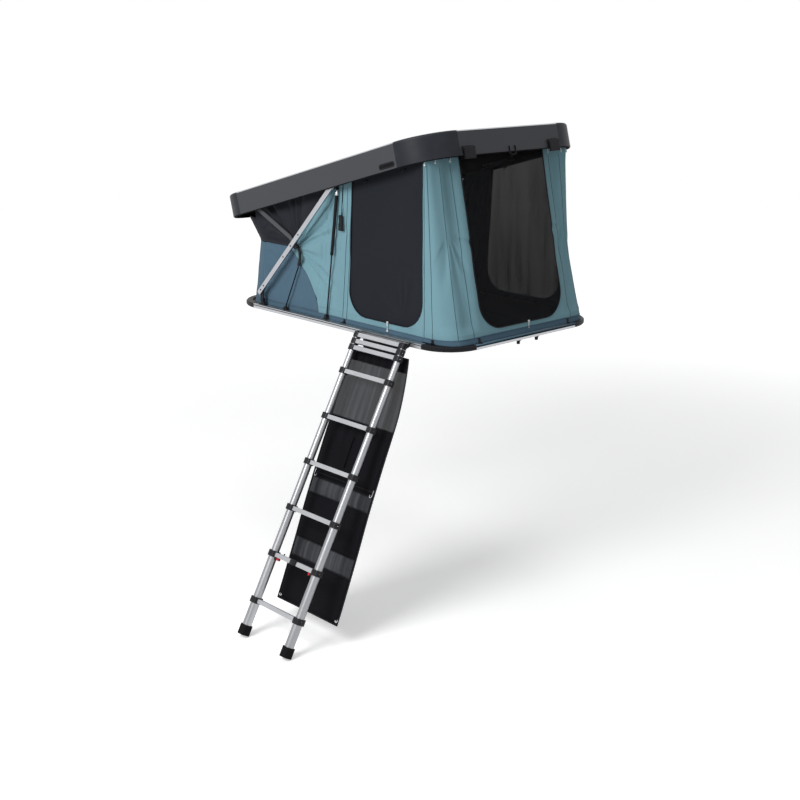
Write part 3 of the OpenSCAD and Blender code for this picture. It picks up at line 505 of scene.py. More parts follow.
def block(bm, size, matrix, rounding):
    """Box with rounded edges."""
    made = bmesh.ops.create_cube(bm, size=1, matrix=matrix @ Matrix.Diagonal((*size, 1)))["verts"]
    edges = list({e for v in made for e in v.link_edges})
    bmesh.ops.bevel(bm, geom=edges, offset=rounding, segments=2, affect="EDGES", profile=0.5, material=-1)


def lathe(bm, profile, matrix, steps):
    """Turned shape: profile is a list of (radius, height)."""
    known = set(bm.verts)
    verts = [bm.verts.new((r, 0, h)) for r, h in profile]
    edges = [bm.edges.new(pair) for pair in zip(verts, verts[1:])]
    bmesh.ops.spin(bm, geom=verts + edges, cent=(0, 0, 0), axis=(0, 0, 1), angle=2 * pi, steps=steps,
                   use_merge=True, use_duplicate=False)
    made = [v for v in bm.verts if v not in known]
    bmesh.ops.remove_doubles(bm, verts=made, dist=1e-6)
    made = [v for v in bm.verts if v not in known]
    bmesh.ops.transform(bm, matrix=matrix, verts=made)
    bmesh.ops.recalc_face_normals(bm, faces=list({f for v in made for f in v.link_faces}))


def edge(line, low, high):
    """Edge curve of a patch: line is the place along the cloth, or gives it at each height."""
    def spot(t):
        z = mix(low, high, t)
        return (line(z) if callable(line) else line, z)
    return spot


def run(place, steps):
    """Points at even steps from 0 to 1."""
    return [place(i / steps) for i in range(steps + 1)]


def fit(piece, body):
    """Piece that moves with one body."""
    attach(piece, body)


def fold_away(piece):
    """Cloth and what is sewn to it is fixed to the base, with a mesh of its own."""
    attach(piece, "base")
    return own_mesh(piece)


def sew_on(piece):
    """Piece that is fixed to the tent body's cloth."""
    fold_away(piece)


def sew(name, bm, finish, node, thick=True):
    """Sheet of the tent body that takes the place of a node."""
    piece = keep_piece(name, bm, finish)
    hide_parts(node)
    fold_away(thicken(piece) if thick else piece)


# Surfaces of the tent body

def lid_level(x):
    return LID_AT[1] + (x - LID_AT[0]) * tan(LID_TILT)


def top_at(x):
    """Height of the cloth's upper edge, which is tucked behind the lid's rim."""
    return lid_level(x) + TUCK


FRONT_TOP_Z = lid_level(-FRONT_TOP)
ARM_SEAM = PIVOT[0] - 0.075
ARM_TOP_Z = top_at(ARM_SEAM - PIVOT[1] / tan(LIFT_ANGLE)) / (1 - tan(LID_TILT) / tan(LIFT_ANGLE))
REAR_TOP_Z = top_at(REAR_FOOT - REAR_LEAN * (lid_level(CORNER_X) - BASE_TOP))

# Creases: depth, centre, direction and half spread in degrees, ribs, reach
SIDE_FANS = ((0.017, (-0.42, 0.49), -15, 75, 17, 0.55), (0.011, (0.02, 0.93), -112, 40, 17, 0.60))
DOOR_FANS = ((0.006, (0.62, 0.16), 105, 70, 13, 0.35),)
REAR_FANS = ((0.008, (-0.52, 0.72), -70, 55, 14, 0.45),)
FRONT_FANS = ((0.006, (0.30, WAIST_Z), -90, 70, 12, 0.45),)
SLATE_FANS = ((0.008, (-0.86, 0.47), -60, 50, 16, 0.45), (0.006, (-0.42, 0.45), -120, 50, 13, 0.40))
HOOD_FANS = ((0.022, (-0.40, 0.50), 110, 70, 19, 0.62), (0.008, (-0.92, 0.50), 40, 45, 15, 0.5))

# Pleats beside the strut and the door: lean, foot, width, share of the full depth
PLEAT_DEPTH = 0.008
SIDE_PLEATS = (
    (0.20, -0.206, 0.014, 1), (0.20, -0.240, 0.013, 1), (0.20, -0.160, 0.018, 0.8),
    (0.076, -0.024, 0.014, 0.8), (0.076, 0.018, 0.013, 1), (0.076, 0.066, 0.012, 1),
)

# Slack of each cloth, how far the cloth of an opening bellies in, and the folds of a rear corner
SIDE_SLACK, FRONT_SLACK, FRONT_SIDE_SLACK, REAR_SLACK = 0.004, 0.004, 0.003, 0.003
DOOR_SLACK, DOOR_BELLY, WINDOW_SLACK, WINDOW_BELLY = 0.0035, 0.010, 0.002, 0.010
CORNER_FOLDS, CORNER_SOFT, CORNER_HARD, CORNER_DIP = 3, 0.0016, 0.017, 0.007


def arm_line(z):
    return ARM_SEAM + (z - PIVOT[1]) / tan(LIFT_ANGLE)


def slate_line(z):
    """Curved seam between the slate and the teal cloth of a side wall."""
    return -0.1911 + 0.041 * z - 1.35 * z * z


def front_seam(z):
    return max(slate_line(z), arm_line(z))


def front_x(z):
    if z < WAIST_Z:
        return -FRONT_FOOT + FRONT_WAIST * (z - FLOOR_TOP) / (WAIST_Z - FLOOR_TOP)
    rise = min(1, (z - WAIST_Z) / (FRONT_TOP_Z - WAIST_Z))
    return -FRONT_FOOT + FRONT_WAIST - (FRONT_WAIST + FRONT_OUT) * rise


def front_edge(z):
    """Where a side's cloth meets the rounded front corner."""
    return front_x(z) + FRONT_R


def sill_in(z):
    if z >= SILL_Z + SILL_R:
        return 0
    return SILL_R - sqrt(max(0, SILL_R ** 2 - (SILL_Z + SILL_R - z) ** 2))


def fan(x, z, centre, turn, spread, ribs, reach):
    """Creases that run out from a point, as a depth from 0 to 1."""
    dx, dz = x - centre[0], z - centre[1]
    r = hypot(dx, dz)
    angle = atan2(dz, dx) - radians(turn)
    inside = smooth(0, 0.12, radians(spread) - abs(angle))
    inside *= smooth(0.02, 0.12, r) * smooth(reach, reach * 0.4, r)
    wave = 0.5 - 0.5 * cos(angle * ribs + 2.0 * sin(angle * ribs * 0.37 + 5 * r))
    return inside * wave


def creases(x, z, fans):
    return sum(depth * fan(x, z, *shape) for depth, *shape in fans)


def ripple(x, z):
    """Slack in the cloth, as a depth from 0 to 1."""
    return 0.5 + 0.25 * sin(9 * x + 4 * z) + 0.25 * sin(17 * z - 7 * x + 1.3)


def side_depth(x, z):
    held = smooth(SEAM_Z, SEAM_Z + 0.10, z) * smooth(top_at(x), top_at(x) - 0.12, z)
    pleat = sum(share * bell(x - lean * (z - SEAM_Z), foot, width)
                for lean, foot, width, share in SIDE_PLEATS)
    depth = SIDE_SLACK * ripple(x, z) + PLEAT_DEPTH * pleat * smooth(SEAM_Z, SEAM_Z + 0.05, z)
    return (depth + creases(x, z, SIDE_FANS)) * max(0.12, held)


def settle(z, share=1.0):
    """Height after the foot seam is drawn down towards the rail. The sill and the rail keep their heights."""
    below = (z - BASE_TOP) / (SEAM_Z - BASE_TOP)
    above = (SILL_Z - z) / (SILL_Z - SEAM_Z)
    return z - SEAM_DROP * share * max(0, min(below, above))


def side_point(sign):
    def place(x, z, inset=0.0):
        return Vector((x, sign * (WALL_Y - CLOTH_GAP - inset - side_depth(x, z)), settle(z)))
    return place


def door_depth(x, z):
    t = (x - DOOR_FRONT) / (DOOR_REAR - DOOR_FRONT)
    belly = DOOR_BELLY * sin(pi * min(1, max(0, t))) * smooth(SILL_Z, SILL_Z + 0.25, z)
    return belly + DOOR_SLACK * ripple(x * 1.3, z * 0.8) + creases(x, z, DOOR_FANS)


def door_point(sign):
    def place(x, z):
        return Vector((x, sign * (WALL_Y - OPENING_GAP - door_depth(x, z)), z))
    return place


def corner_u(sign, f):
    """Place along the rear cloth: f goes around a corner, from 0 at the rear to 1 at the side."""
    return sign * (REAR_FLAT + f * CORNER_ARC)


def corner_fold(f):
    """Folds down a rear corner: soft ones all round, and a hard one beside the middle seam."""
    soft = CORNER_SOFT * (1 - cos(2 * pi * CORNER_FOLDS * f)) * sin(pi * f)
    return soft + CORNER_HARD * smooth(0.42, 0.25, f) * smooth(0, 0.22, f)


def rear_x(z):
    return REAR_FOOT - REAR_LEAN * (z - BASE_TOP)


def swell(f, z):
    """How much fuller than an ellipse a rear corner is in plan."""
    n = 2 + FLARE * max(0, 1 - (z - BASE_TOP) / FLARE_H) ** 1.5
    return (max(0, cos(pi / 2 * f)) ** n + sin(pi / 2 * f) ** n) ** (-1 / n)


def rear_depth(u, z):
    f = max(0, abs(u) - REAR_FLAT) / CORNER_ARC
    depth = corner_fold(f) + REAR_SLACK * ripple(u, z)
    depth += CORNER_DIP * bell(f, 0.42, 0.10) * sin(pi * smooth(0.3, 1.1, z)) ** 2
    depth += creases(-abs(u), z, REAR_FANS)
    return depth * max(0.2, smooth(SEAM_Z, SEAM_Z + 0.08, z))


def rear_point(u, z, inset=0.0, flat=False):
    sign = -1 if u < 0 else 1
    f = min(1, max(0, abs(u) - REAR_FLAT) / CORNER_ARC)
    into = CLOTH_GAP + inset + (0 if flat else rear_depth(u, z))
    along = min(abs(u), REAR_FLAT)
    full = swell(f, z)
    back = (rear_x(z) - CORNER_X - into) * full * cos(pi / 2 * f)
    out = (CORNER_Y - into) * full * sin(pi / 2 * f)
    return Vector((CORNER_X + back, sign * (along + out), settle(z, mix(REAR_DROP_SHARE, 1, f))))


def window_point(u, z):
    belly = WINDOW_BELLY * cos(pi / 2 * u / WINDOW_Y) * smooth(SILL_Z, SILL_Z + 0.3, z)
    return rear_point(u, z, OPENING_GAP + belly + WINDOW_SLACK * ripple(u * 1.4, z), flat=True)


def front_depth(u, z):
    depth = FRONT_SLACK * ripple(u, z) + creases(abs(u), z, FRONT_FANS)
    return depth * smooth(SEAM_Z, SEAM_Z + 0.08, z) * smooth(FRONT_END, FRONT_END - 0.08, abs(u))


def front_point(u, z, inset=0.0):
    sign = -1 if u < 0 else 1
    f = max(0, abs(u) - FRONT_FLAT) / FRONT_ARC
    along = min(abs(u), FRONT_FLAT)
    r = FRONT_R - CLOTH_GAP - inset - front_depth(u, z)
    return Vector((front_edge(z) - r * cos(pi / 2 * f), sign * (along + r * sin(pi / 2 * f)), settle(z)))


def front_side_point(sign, low, rise, fans):
    def place(x, z):
        held = smooth(low, low + rise, z) * smooth(front_edge(z), front_edge(z) + 0.06, x)
        depth = FRONT_SIDE_SLACK * ripple(x, z) + creases(x, z, fans)
        return Vector((x, sign * (WALL_Y - CLOTH_GAP - depth * held), settle(z)))
    return place


def eased(t):
    return t ** 1.4


def door_line(z):
    return DOOR_FRONT + DOOR_SLANT * (z - SILL_Z)


def door_edge_front(t):
    z = mix(SILL_Z, top_at(door_line(lid_level(DOOR_FRONT))), eased(t))
    return (door_line(z) + sill_in(z), z)


def door_edge_rear(t):
    z = mix(SILL_Z, top_at(DOOR_REAR), eased(t))
    return (DOOR_REAR - sill_in(z), z)


def window_edge(sign):
    def spot(t):
        z = mix(SILL_Z, REAR_TOP_Z, eased(t))
        return (sign * (WINDOW_Y - sill_in(z)), z)
    return spot


def corner_edge(place):
    """Upright edge between a side and the rear, from the sill to the lid."""
    return lambda t: (place, mix(SILL_Z, top_at(CORNER_X), eased(t)))


# Cloth of the tent body

for side, sign in SIDES:
    bm = bmesh.new()
    wall = side_point(sign)
    lay_patch(bm, wall, edge(front_seam, SEAM_Z, SILL_Z), edge(CORNER_X, SEAM_Z, SILL_Z), 150, 6)
    lay_patch(bm, wall, edge(front_seam, SILL_Z, ARM_TOP_Z), door_edge_front, 150, 110)
    lay_patch(bm, wall, door_edge_rear, corner_edge(CORNER_X), 26, 90)
    weld(bm, 0.0004)
    sew(f"side_wall_{side}", bm, teal_canvas, "side_walls")

    bm = bmesh.new()
    lay_patch(bm, door_point(sign), door_edge_front, door_edge_rear, 60, 80)
    sew(f"side_door_{side}", bm, door_canvas if sign < 0 else door_net, "side_doors",
        thick=False)

    bm = bmesh.new()
    lay_patch(bm, front_side_point(sign, SEAM_Z, 0.06, SLATE_FANS),
              edge(front_edge, SEAM_Z, WAIST_Z), edge(front_seam, SEAM_Z, WAIST_Z), 60, 44)
    sew(f"front_side_{side}", bm, slate_canvas, "front_wall")

    bm = bmesh.new()
    lay_patch(bm, front_side_point(sign, WAIST_Z, 0.04, HOOD_FANS),
              edge(front_edge, WAIST_Z, top_at(FRONT_R - FRONT_TOP)),
              edge(arm_line, WAIST_Z, ARM_TOP_Z), 90, 60)
    sew(f"hood_side_{side}", bm, hood_canvas, "front_hood")

bm = bmesh.new()
lay_patch(bm, rear_point, edge(-REAR_END, SEAM_Z, SILL_Z), edge(REAR_END, SEAM_Z, SILL_Z), 180, 6)
for sign in (-1, 1):
    lay_patch(bm, rear_point, corner_edge(sign * REAR_END), window_edge(sign), 80, 100)
weld(bm, 0.0004)
sew("rear_wall_cloth", bm, teal_canvas, "rear_wall")

bm = bmesh.new()
lay_patch(bm, window_point, window_edge(-1), window_edge(1), 50, 70)
sew("rear_window_net", bm, window_net, "rear_window",
    thick=False)

bm = bmesh.new()
lay_patch(bm, front_point, edge(-FRONT_END, SEAM_Z, WAIST_Z), edge(FRONT_END, SEAM_Z, WAIST_Z), 150, 44)
sew("front_wall_cloth", bm, slate_canvas, "front_wall")

bm = bmesh.new()
HOOD_TOP = FRONT_TOP_Z + TUCK
lay_patch(bm, front_point, edge(-FRONT_END, WAIST_Z, HOOD_TOP), edge(FRONT_END, WAIST_Z, HOOD_TOP), 150, 24)
sew("front_hood_cloth", bm, hood_canvas, "front_hood")

SKIRT_Z = FLOOR_TOP + 0.0005
REAR_SKIRT_Z = BASE_TOP + 0.0013
bm = bmesh.new()
lay_patch(bm, rear_point, edge(-REAR_END, REAR_SKIRT_Z, SEAM_Z), edge(REAR_END, REAR_SKIRT_Z, SEAM_Z), 160, 6)
lay_patch(bm, front_point, edge(-FRONT_END, SKIRT_Z, SEAM_Z), edge(FRONT_END, SKIRT_Z, SEAM_Z), 120, 6)
for sign in (-1, 1):
    lay_patch(bm, side_point(sign), edge(front_edge, SKIRT_Z, SEAM_Z), edge(CORNER_X, SKIRT_Z, SEAM_Z),
              160, 6)
weld(bm, 0.0006)
skirt = keep_piece("skirt_band", bm, slate_canvas)
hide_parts("skirt")
thicken(skirt)
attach(skirt, "base")


# Seams, zips, piping and lines of painted fold shade

ZIP_OUT, PIPING_OUT, FOLD_SHADE_OUT, CORNER_SEAM_OUT = 0.0020, 0.001, 0.0012, 0.0006
DOOR_ZIP_R, WINDOW_ZIP_R, SEAM_R, PIPING_R = 0.0032, 0.0034, 0.0016, 0.0022
# Painted shade: lines of thread colour down two folds of each side wall, each with its foot and top, all at one
# slant, stand for the shade in the folds.
FOLD_SHADE_SLANT = 0.076
FOLD_SHADE_LINES = ((0.046, 0.93), (0.084, 0.94))
CORNER_SEAMS = (0.15, 0.42, 0.80, 0.97)


def around(start, end):
    """Spots up to an opening's lower edge on one side and back up the other."""
    return run(lambda t: start(1 - t), 50) + run(end, 50)


for side, sign in SIDES:
    wall = side_point(sign)
    points = [wall(x, z, -ZIP_OUT) for x, z in around(door_edge_front, door_edge_rear)]
    sew_on(tube(f"door_zip_{side}", [points], DOOR_ZIP_R, fitting_plastic))
    lines = [[wall(x, z, -PIPING_OUT) for x, z in run(edge(front_seam, SEAM_Z, ARM_TOP_Z - 0.03), 60)]]
    # Lines of painted fold shade, beside the front seam's piping.
    for foot, top in FOLD_SHADE_LINES:
        slanted = edge(lambda z: foot + FOLD_SHADE_SLANT * (z - SEAM_Z), SEAM_Z, top)
        lines.append([wall(x, z, -FOLD_SHADE_OUT) for x, z in run(slanted, 40)])
    sew_on(tube(f"side_seam_and_fold_shade_{side}", lines, SEAM_R, teal_thread_and_fold_shade))

points = [rear_point(u, z, -ZIP_OUT) for u, z in around(window_edge(-1), window_edge(1))]
sew_on(tube("window_zip", [points], WINDOW_ZIP_R, fitting_plastic))

lines = []
for sign in (-1, 1):
    for f in CORNER_SEAMS:
        upright = edge(corner_u(sign, f), SEAM_Z, REAR_TOP_Z - 0.05)
        lines.append([rear_point(u, z, -CORNER_SEAM_OUT) for u, z in run(upright, 50)])
sew_on(tube("corner_seams", lines, SEAM_R, teal_thread_and_fold_shade))


def side_piping(start, end, y):
    """Points along a side's foot seam, without its ends."""
    return run(lambda t: Vector((mix(start, end, t), y, settle(SEAM_Z))), 30)[1:-1]


points = run(lambda t: rear_point(mix(-REAR_END, REAR_END, t), SEAM_Z, -PIPING_OUT), 90)
points += side_piping(CORNER_X, front_edge(SEAM_Z), WALL_Y + 0.0005)
points += run(lambda t: front_point(mix(FRONT_END, -FRONT_END, t), SEAM_Z, -PIPING_OUT), 90)
points += side_piping(front_edge(SEAM_Z), CORNER_X, -WALL_Y - 0.0005)
fit(tube("skirt_piping", [points], PIPING_R, slate_canvas, closed=True), "base")

points = run(lambda t: front_point(mix(-FRONT_END, FRONT_END, t), WAIST_Z, -PIPING_OUT), 90)
sew_on(tube("waist_seam", [points], PIPING_R, hood_canvas))


# Mattress

MATTRESS_L, MATTRESS_W, MATTRESS_R = 1.972, 1.214, 0.250
MATTRESS_EDGE, MATTRESS_CROWN = 0.036, 0.062
QUILT_X, QUILT_Y, QUILT_DEPTH = 0.32, 0.30, 0.004


def mattress_point(a, b, top=True):
    """A spot of the cover, from -1 to 1 each way: the outer tenth is the rounded side."""
    side = max(abs(a), abs(b))
    y = sin(pi / 2 * b) * MATTRESS_W / 2
    corner = max(0, abs(y) - MATTRESS_W / 2 + MATTRESS_R)
    x = a * (MATTRESS_L / 2 - MATTRESS_R + sqrt(max(0, MATTRESS_R ** 2 - corner ** 2)))
    crown = MATTRESS_EDGE + (MATTRESS_CROWN - MATTRESS_EDGE) * (1 - a ** 6) * (1 - b ** 6)
    channel = QUILT_DEPTH * (bell((x / QUILT_X) % 1, 0.5, 0.05) + bell((y / QUILT_Y) % 1, 0.5, 0.05))
    rim = sqrt(max(0, 1 - smooth(0.90, 1.0, side) ** 2))
    height = (crown - channel) * rim if top else 0
    return Vector((x, y, FLOOR_TOP + 0.0008 + height))


bm = bmesh.new()
lay_patch(bm, mattress_point, edge(-1, -1, 1), edge(1, -1, 1), 120, 80, lambda point: ALONG_Z)
lay_patch(bm, lambda a, b: mattress_point(a, b, False), edge(-1, -1, 1), edge(1, -1, 1), 120, 80,
          lambda point: -ALONG_Z)
weld(bm, 0.0002)
mattress = keep_piece("mattress_pad", bm, mattress_cover)
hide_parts("mattress")
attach(mattress, "base")


# Straps, buckles and small fittings of the tent body

# Thickness and width of each strap
STAY_STRAP, BUCKLE_STRAP, TAB_STRAP = (0.002, 0.009), (0.0016, 0.006), (0.0018, 0.020)
TAIL_END, STRAP_CLIP, STRAP_Y = (-0.3741, 0.3745), (-0.520, 0.0843), 0.660
BUCKLE_X, BUCKLE_TOP, BUCKLE_STRAP_X = 0.044, 0.735, 0.066
BUCKLE_PARTS = (
    (0.728, (0.034, 0.009, 0.052)), (0.695, (0.028, 0.008, 0.040)), (0.664, (0.046, 0.009, 0.018)),
)
BUCKLE_PRONGS, PRONG_Z, PRONG = (0.0245, 0.0635), 0.684, (0.006, 0.007, 0.034)
TOGGLES = (0.273, 0.616)
TOGGLE = ((0.0001, -0.018), (0.004, -0.017), (0.005, -0.008), (0.0038, 0), (0.005, 0.008), (0.004, 0.017),
          (0.0001, 0.018))

for side, sign in SIDES:
    bm = bmesh.new()
    ribbon(bm, run(lambda t: Vector((mix(STRAP_CLIP[0], TAIL_END[0], t), sign * STRAP_Y,
                                     mix(STRAP_CLIP[1], TAIL_END[1], t))), 16), ALONG_X, *STAY_STRAP)
    piece = keep_piece(f"stay_strap_{side}", bm, black_webbing)
    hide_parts("stay_straps")
    sew_on(piece)

    bm = bmesh.new()
    strap_top = lid_level(BUCKLE_STRAP_X) + 0.01
    ribbon(bm, run(lambda t: Vector((mix(BUCKLE_STRAP_X, BUCKLE_X, t), sign * (WALL_Y + 0.0015),
                                     mix(strap_top, BUCKLE_TOP, t))), 12), ALONG_X, *BUCKLE_STRAP)
    sew_on(keep_piece(f"buckle_strap_{side}", bm, black_webbing))

    bm = bmesh.new()
    for z, size in BUCKLE_PARTS:
        block(bm, size, moved((BUCKLE_X, sign * (WALL_Y + 0.005), z)), 0.003)
    for x in BUCKLE_PRONGS:
        block(bm, PRONG, moved((x, sign * (WALL_Y + 0.005), PRONG_Z)), 0.002)
    sew_on(keep_piece(f"buckle_{side}", bm, fitting_plastic))

    bm = bmesh.new()
    for x in TOGGLES:
        top = door_point(sign)(x, lid_level(x) - 0.006) + Vector((0, sign * 0.006, -0.012))
        lathe(bm, TOGGLE, moved(top) @ turned(radians(60), "Y"), 12)
    sew_on(keep_piece(f"door_toggles_{side}", bm, fitting_plastic))


PULL_LENGTH, PULL_SPREAD, SLIDER = 0.055, 0.006, (0.016, 0.006, 0.012)
PULL_LEG, PULL_TIP = (0.0045, 0.003, PULL_LENGTH), (0.009, 0.004, 0.014)


def pull_tab(bm, place, outward):
    """Slim loop of a zip puller that hangs from a slider."""
    side = outward.cross(ALONG_Z).normalized()
    slider = moved(place) @ Matrix((side, outward, ALONG_Z)).transposed().to_4x4()
    block(bm, SLIDER, slider, 0.002)
    for shift in (-PULL_SPREAD, PULL_SPREAD):
        leg = slider @ moved((shift, 0.001, 0)) @ turned(shift * 30, "Y")
        block(bm, PULL_LEG, leg @ moved((0, 0, -PULL_LENGTH / 2)), 0.0012)
        block(bm, PULL_TIP, leg @ moved((0, 0, -PULL_LENGTH)), 0.002)


PULL_Z, PULL_OUT = SILL_Z + 0.004, 0.006
bm = bmesh.new()
for sign in (-1, 1):
    pull_tab(bm, side_point(sign)(0.480, PULL_Z, -PULL_OUT), sign * ALONG_Y)
pull_tab(bm, rear_point(0.040, PULL_Z, -PULL_OUT), ALONG_X)
sew_on(keep_piece("zip_pulls", bm, pale_plastic))

CORD_ENDS, CORD_PIN, CORD_BEAD = (0.88, 0.50, 0.14), (0.006, 0.006, 0.024), (0.009, 0.009, 0.009)
bm = bmesh.new()
for sign in (-1, 1):
    for f in CORD_ENDS:
        u = corner_u(sign, f)
        below_lid = lid_level(rear_point(u, 1.0, -0.004).x) - 0.012
        spot = moved(rear_point(u, below_lid, -0.005))
        block(bm, CORD_PIN, spot @ turned(radians(25 * sign), "X"), 0.002)
        block(bm, CORD_BEAD, spot @ moved((0, 0, -CORD_PIN[2] / 2)), 0.002)
sew_on(keep_piece("corner_cord_ends", bm, pale_plastic))

TAB_X, TAB_OUT, TAB_CLIP = 0.062, 0.0022, (0.018, 0.026, 0.007)
TAB_TOP, TAB_FOOT = SEAM_Z - 0.004, BASE_TOP + 0.004


def rear_tabs(sign):
    return (corner_u(sign, 0.80), sign * (REAR_FLAT + 0.02))


bm = bmesh.new()
for sign in (-1, 1):
    wall = side_point(sign)
    points = [wall(x, z, -TAB_OUT) for x, z in run(edge(TAB_X, TAB_TOP, TAB_FOOT), 6)]
    ribbon(bm, points, ALONG_X, *TAB_STRAP)
    for u in rear_tabs(sign):
        across = rear_point(u + 0.01, SEAM_Z) - rear_point(u - 0.01, SEAM_Z)
        points = [rear_point(u, z, -TAB_OUT) for u, z in run(edge(u, TAB_TOP, TAB_FOOT), 6)]
        ribbon(bm, points, across, *TAB_STRAP)
fit(keep_piece("hold_down_tabs", bm, black_webbing), "base")

bm = bmesh.new()
for sign in (-1, 1):
    spots = [Vector((TAB_X, sign * (WALL_Y + 0.006), 0))]
    spots += [rear_point(u, BASE_TOP, -0.005) for u in rear_tabs(sign)]
    for spot in spots:
        place = moved((spot.x, spot.y, BASE_TOP + 0.0048))
        block(bm, TAB_CLIP, place @ turned(atan2(spot.y, spot.x), "Z"), 0.002)
fit(keep_piece("hold_down_clips", bm, fitting_plastic), "base")

HEM = ((-0.013, 0.0016), (0, 0.0014), (0.0012, 0.0002), (0.0014, -0.004), (0.0014, -0.013))
bm = bmesh.new()
ribbon(bm, [Vector((BASE_L / 2 + dx, 0, BASE_TOP + dz)) for dx, dz in HEM], ALONG_Y, 0.001,
       BASE_W - 2 * BASE_R - 0.004)
fit(keep_piece("rear_hem", bm, slate_canvas), "base")

# Painted shade: a near-black tube in the groove above each side rail's bright lip.
GROOVE_END = BASE_L / 2 - BASE_R - 0.004
GROOVE_Y, GROOVE_Z, GROOVE_R = BASE_W / 2 - 0.0022, BASE_TOP - 0.0085, 0.0021
lines = [run(lambda t: Vector((mix(-GROOVE_END, GROOVE_END, t), y, GROOVE_Z)), 8)
         for y in (-GROOVE_Y, GROOVE_Y)]
fit(tube("rail_groove_shade", lines, GROOVE_R, painted_gap_shade), "base")

RAIL_CLIPS, RAIL_CLIP, RAIL_CLIP_FOOT = (-0.052, 0.117), (0.030, 0.034, 0.012), (0.016, 0.020, 0.022)
bm = bmesh.new()
for y in RAIL_CLIPS:
    block(bm, RAIL_CLIP, moved((1.040, y, 0.0238)), 0.003)
    block(bm, RAIL_CLIP_FOOT, moved((1.044, y, 0.008)), 0.004)
fit(keep_piece("rear_rail_clips", bm, fitting_plastic), "base")


# Fittings of the lid and its linkage

PULL_X, RECESS, RECESS_LIP = 0.730, (0.122, 0.0016, 0.017), (0.112, 0.0030, 0.004)
bm = bmesh.new()
for sign in (-1, 1):
    recess = on_lid(PULL_X, sign * (LID_W / 2 + 0.0005), 0.028)
    block(bm, RECESS, moved(recess) @ LID_TURN, 0.0007)
    lip = on_lid(PULL_X, sign * (LID_W / 2 + 0.0006), 0.0345)
    block(bm, RECESS_LIP, moved(lip) @ LID_TURN, 0.001)
fit(keep_piece("pull_recesses", bm, seal_rubber), "lid")

LOOP_R, LOOP_LEGS, LOOP_X, LOOP_STRAP = 0.026, 0.032, LID_L / 2 + 0.0013, (0.002, 0.012)


def loop_point(t):
    a = radians(mix(180, 360, t))
    return on_lid(LOOP_X + 0.004 * abs(sin(a)), LOOP_R * cos(a), 0.88 * LOOP_R * sin(a))


points = run(lambda t: on_lid(LOOP_X, -LOOP_R, mix(LOOP_LEGS, 0, t)), 6)[:-1] + run(loop_point, 24)
points += run(lambda t: on_lid(LOOP_X, LOOP_R, mix(0, LOOP_LEGS, t)), 6)[1:]
bm = bmesh.new()
ribbon(bm, points, LID_TURN @ ALONG_X, *LOOP_STRAP)
piece = keep_piece("rear_pull_loop", bm, black_webbing)
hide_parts("pull_loop")
fit(piece, "lid")

LATCH_Y, LATCH_SCREW = 0.379, 0.034
LATCH_HEAD = ((0.0001, 0.0016), (0.0022, 0.0014), (0.0030, 0.0006), (0.0030, -0.0004))
bm = bmesh.new()
for sign in (-1, 1):
    for y in (LATCH_Y * sign - LATCH_SCREW, LATCH_Y * sign + LATCH_SCREW):
        place = moved(on_lid(LID_L / 2 + 0.003, y, 0.049))
        lathe(bm, LATCH_HEAD, place @ LID_TURN @ turned(pi / 2, "Y"), 12)
fit(keep_piece("latch_screws", bm, rod_black), "lid")

ARM_BOLTS = (0.060, 0.107, 0.426, 0.543, 0.659)
ARM_BOLT_H, BAR_TURN = 0.048, radians(-2.7)
BOLT_HEAD = ((0.0001, 0.0008), (0.0022, 0.0008), (0.0030, 0.0016), (0.0046, 0.0018), (0.0056, 0.0010),
             (0.0058, -0.0002))
bm = bmesh.new()
for sign in (-1, 1):
    for d in ARM_BOLTS:
        on_arm = Vector((d * cos(BAR_TURN), 0, ARM_BOLT_H + d * sin(BAR_TURN)))
        place = moved(Vector((PIVOT[0], sign * BASE_W / 2, PIVOT[1])) + LIFT_TURN @ on_arm)
        lathe(bm, BOLT_HEAD, place @ turned(-sign * pi / 2, "X"), 16)
fit(keep_piece("arm_bolts", bm, fitting_plastic), "arms")

STRUT_TUBE = 0.412
FERRULE = ((0.0052, -0.048), (0.0112, -0.047), (0.0116, -0.040), (0.0116, -0.028), (0.0086, -0.024),
           (0.0078, -0.010), (0.0052, -0.0085))
GLAND = ((0.0056, -0.004), (0.0088, -0.003), (0.0109, 0.004), (0.0109, 0.016), (0.0104, 0.018))


def on_struts(profile, height):
    """Turned shape around both gas struts, at a height above their feet."""
    bm = bmesh.new()
    for sign in (-1, 1):
        foot = moved((STRUT_FOOT[0], sign * STRUT_Y, STRUT_FOOT[1]))
        raised = [(r, height + h) for r, h in profile]
        lathe(bm, raised, foot @ turned(pi / 2 - STRUT_ANGLE, "Y"), 24)
    return bm


fit(keep_piece("strut_ferrules", on_struts(FERRULE, STRUT_OPEN), screw_silver), "strut_tubes")
fit(keep_piece("strut_glands", on_struts(GLAND, STRUT_OPEN - 0.024 - STRUT_TUBE), seal_rubber),
    "strut_tubes")


# Ladder fittings

RELEASE_LEVER = (0.009, 0.006, 0.030)
COLLAR_SCREW = ((0.0001, 0.0020), (0.0028, 0.0018), (0.0042, 0.0008), (0.0045, -0.0004))


def stile_r(k):
    return STILE_R + STILE_STEP * (k - 1)


for k in range(2, 10):
    bm = bmesh.new()
    for s in (-1, 1):
        at = on_ladder(s * (STILE_SPAN / 2 + stile_r(k) + 0.005), -0.004, -RUNG_AT[k - 1])
        lathe(bm, COLLAR_SCREW, moved(at) @ LADDER_TURN @ turned(s * pi / 2, "Y"), 14)
    fit(keep_piece(f"collar_screws_{k}", bm, screw_silver), f"ladder_{k}")

bm = bmesh.new()
for s in (-1, 1):
    at = on_ladder(s * 0.145, 0.0255, 0.008 - RUNG_AT[7])
    block(bm, RELEASE_LEVER, moved(at) @ LADDER_TURN, 0.002)
fit(keep_piece("release_levers", bm, fitting_plastic), "ladder_8")

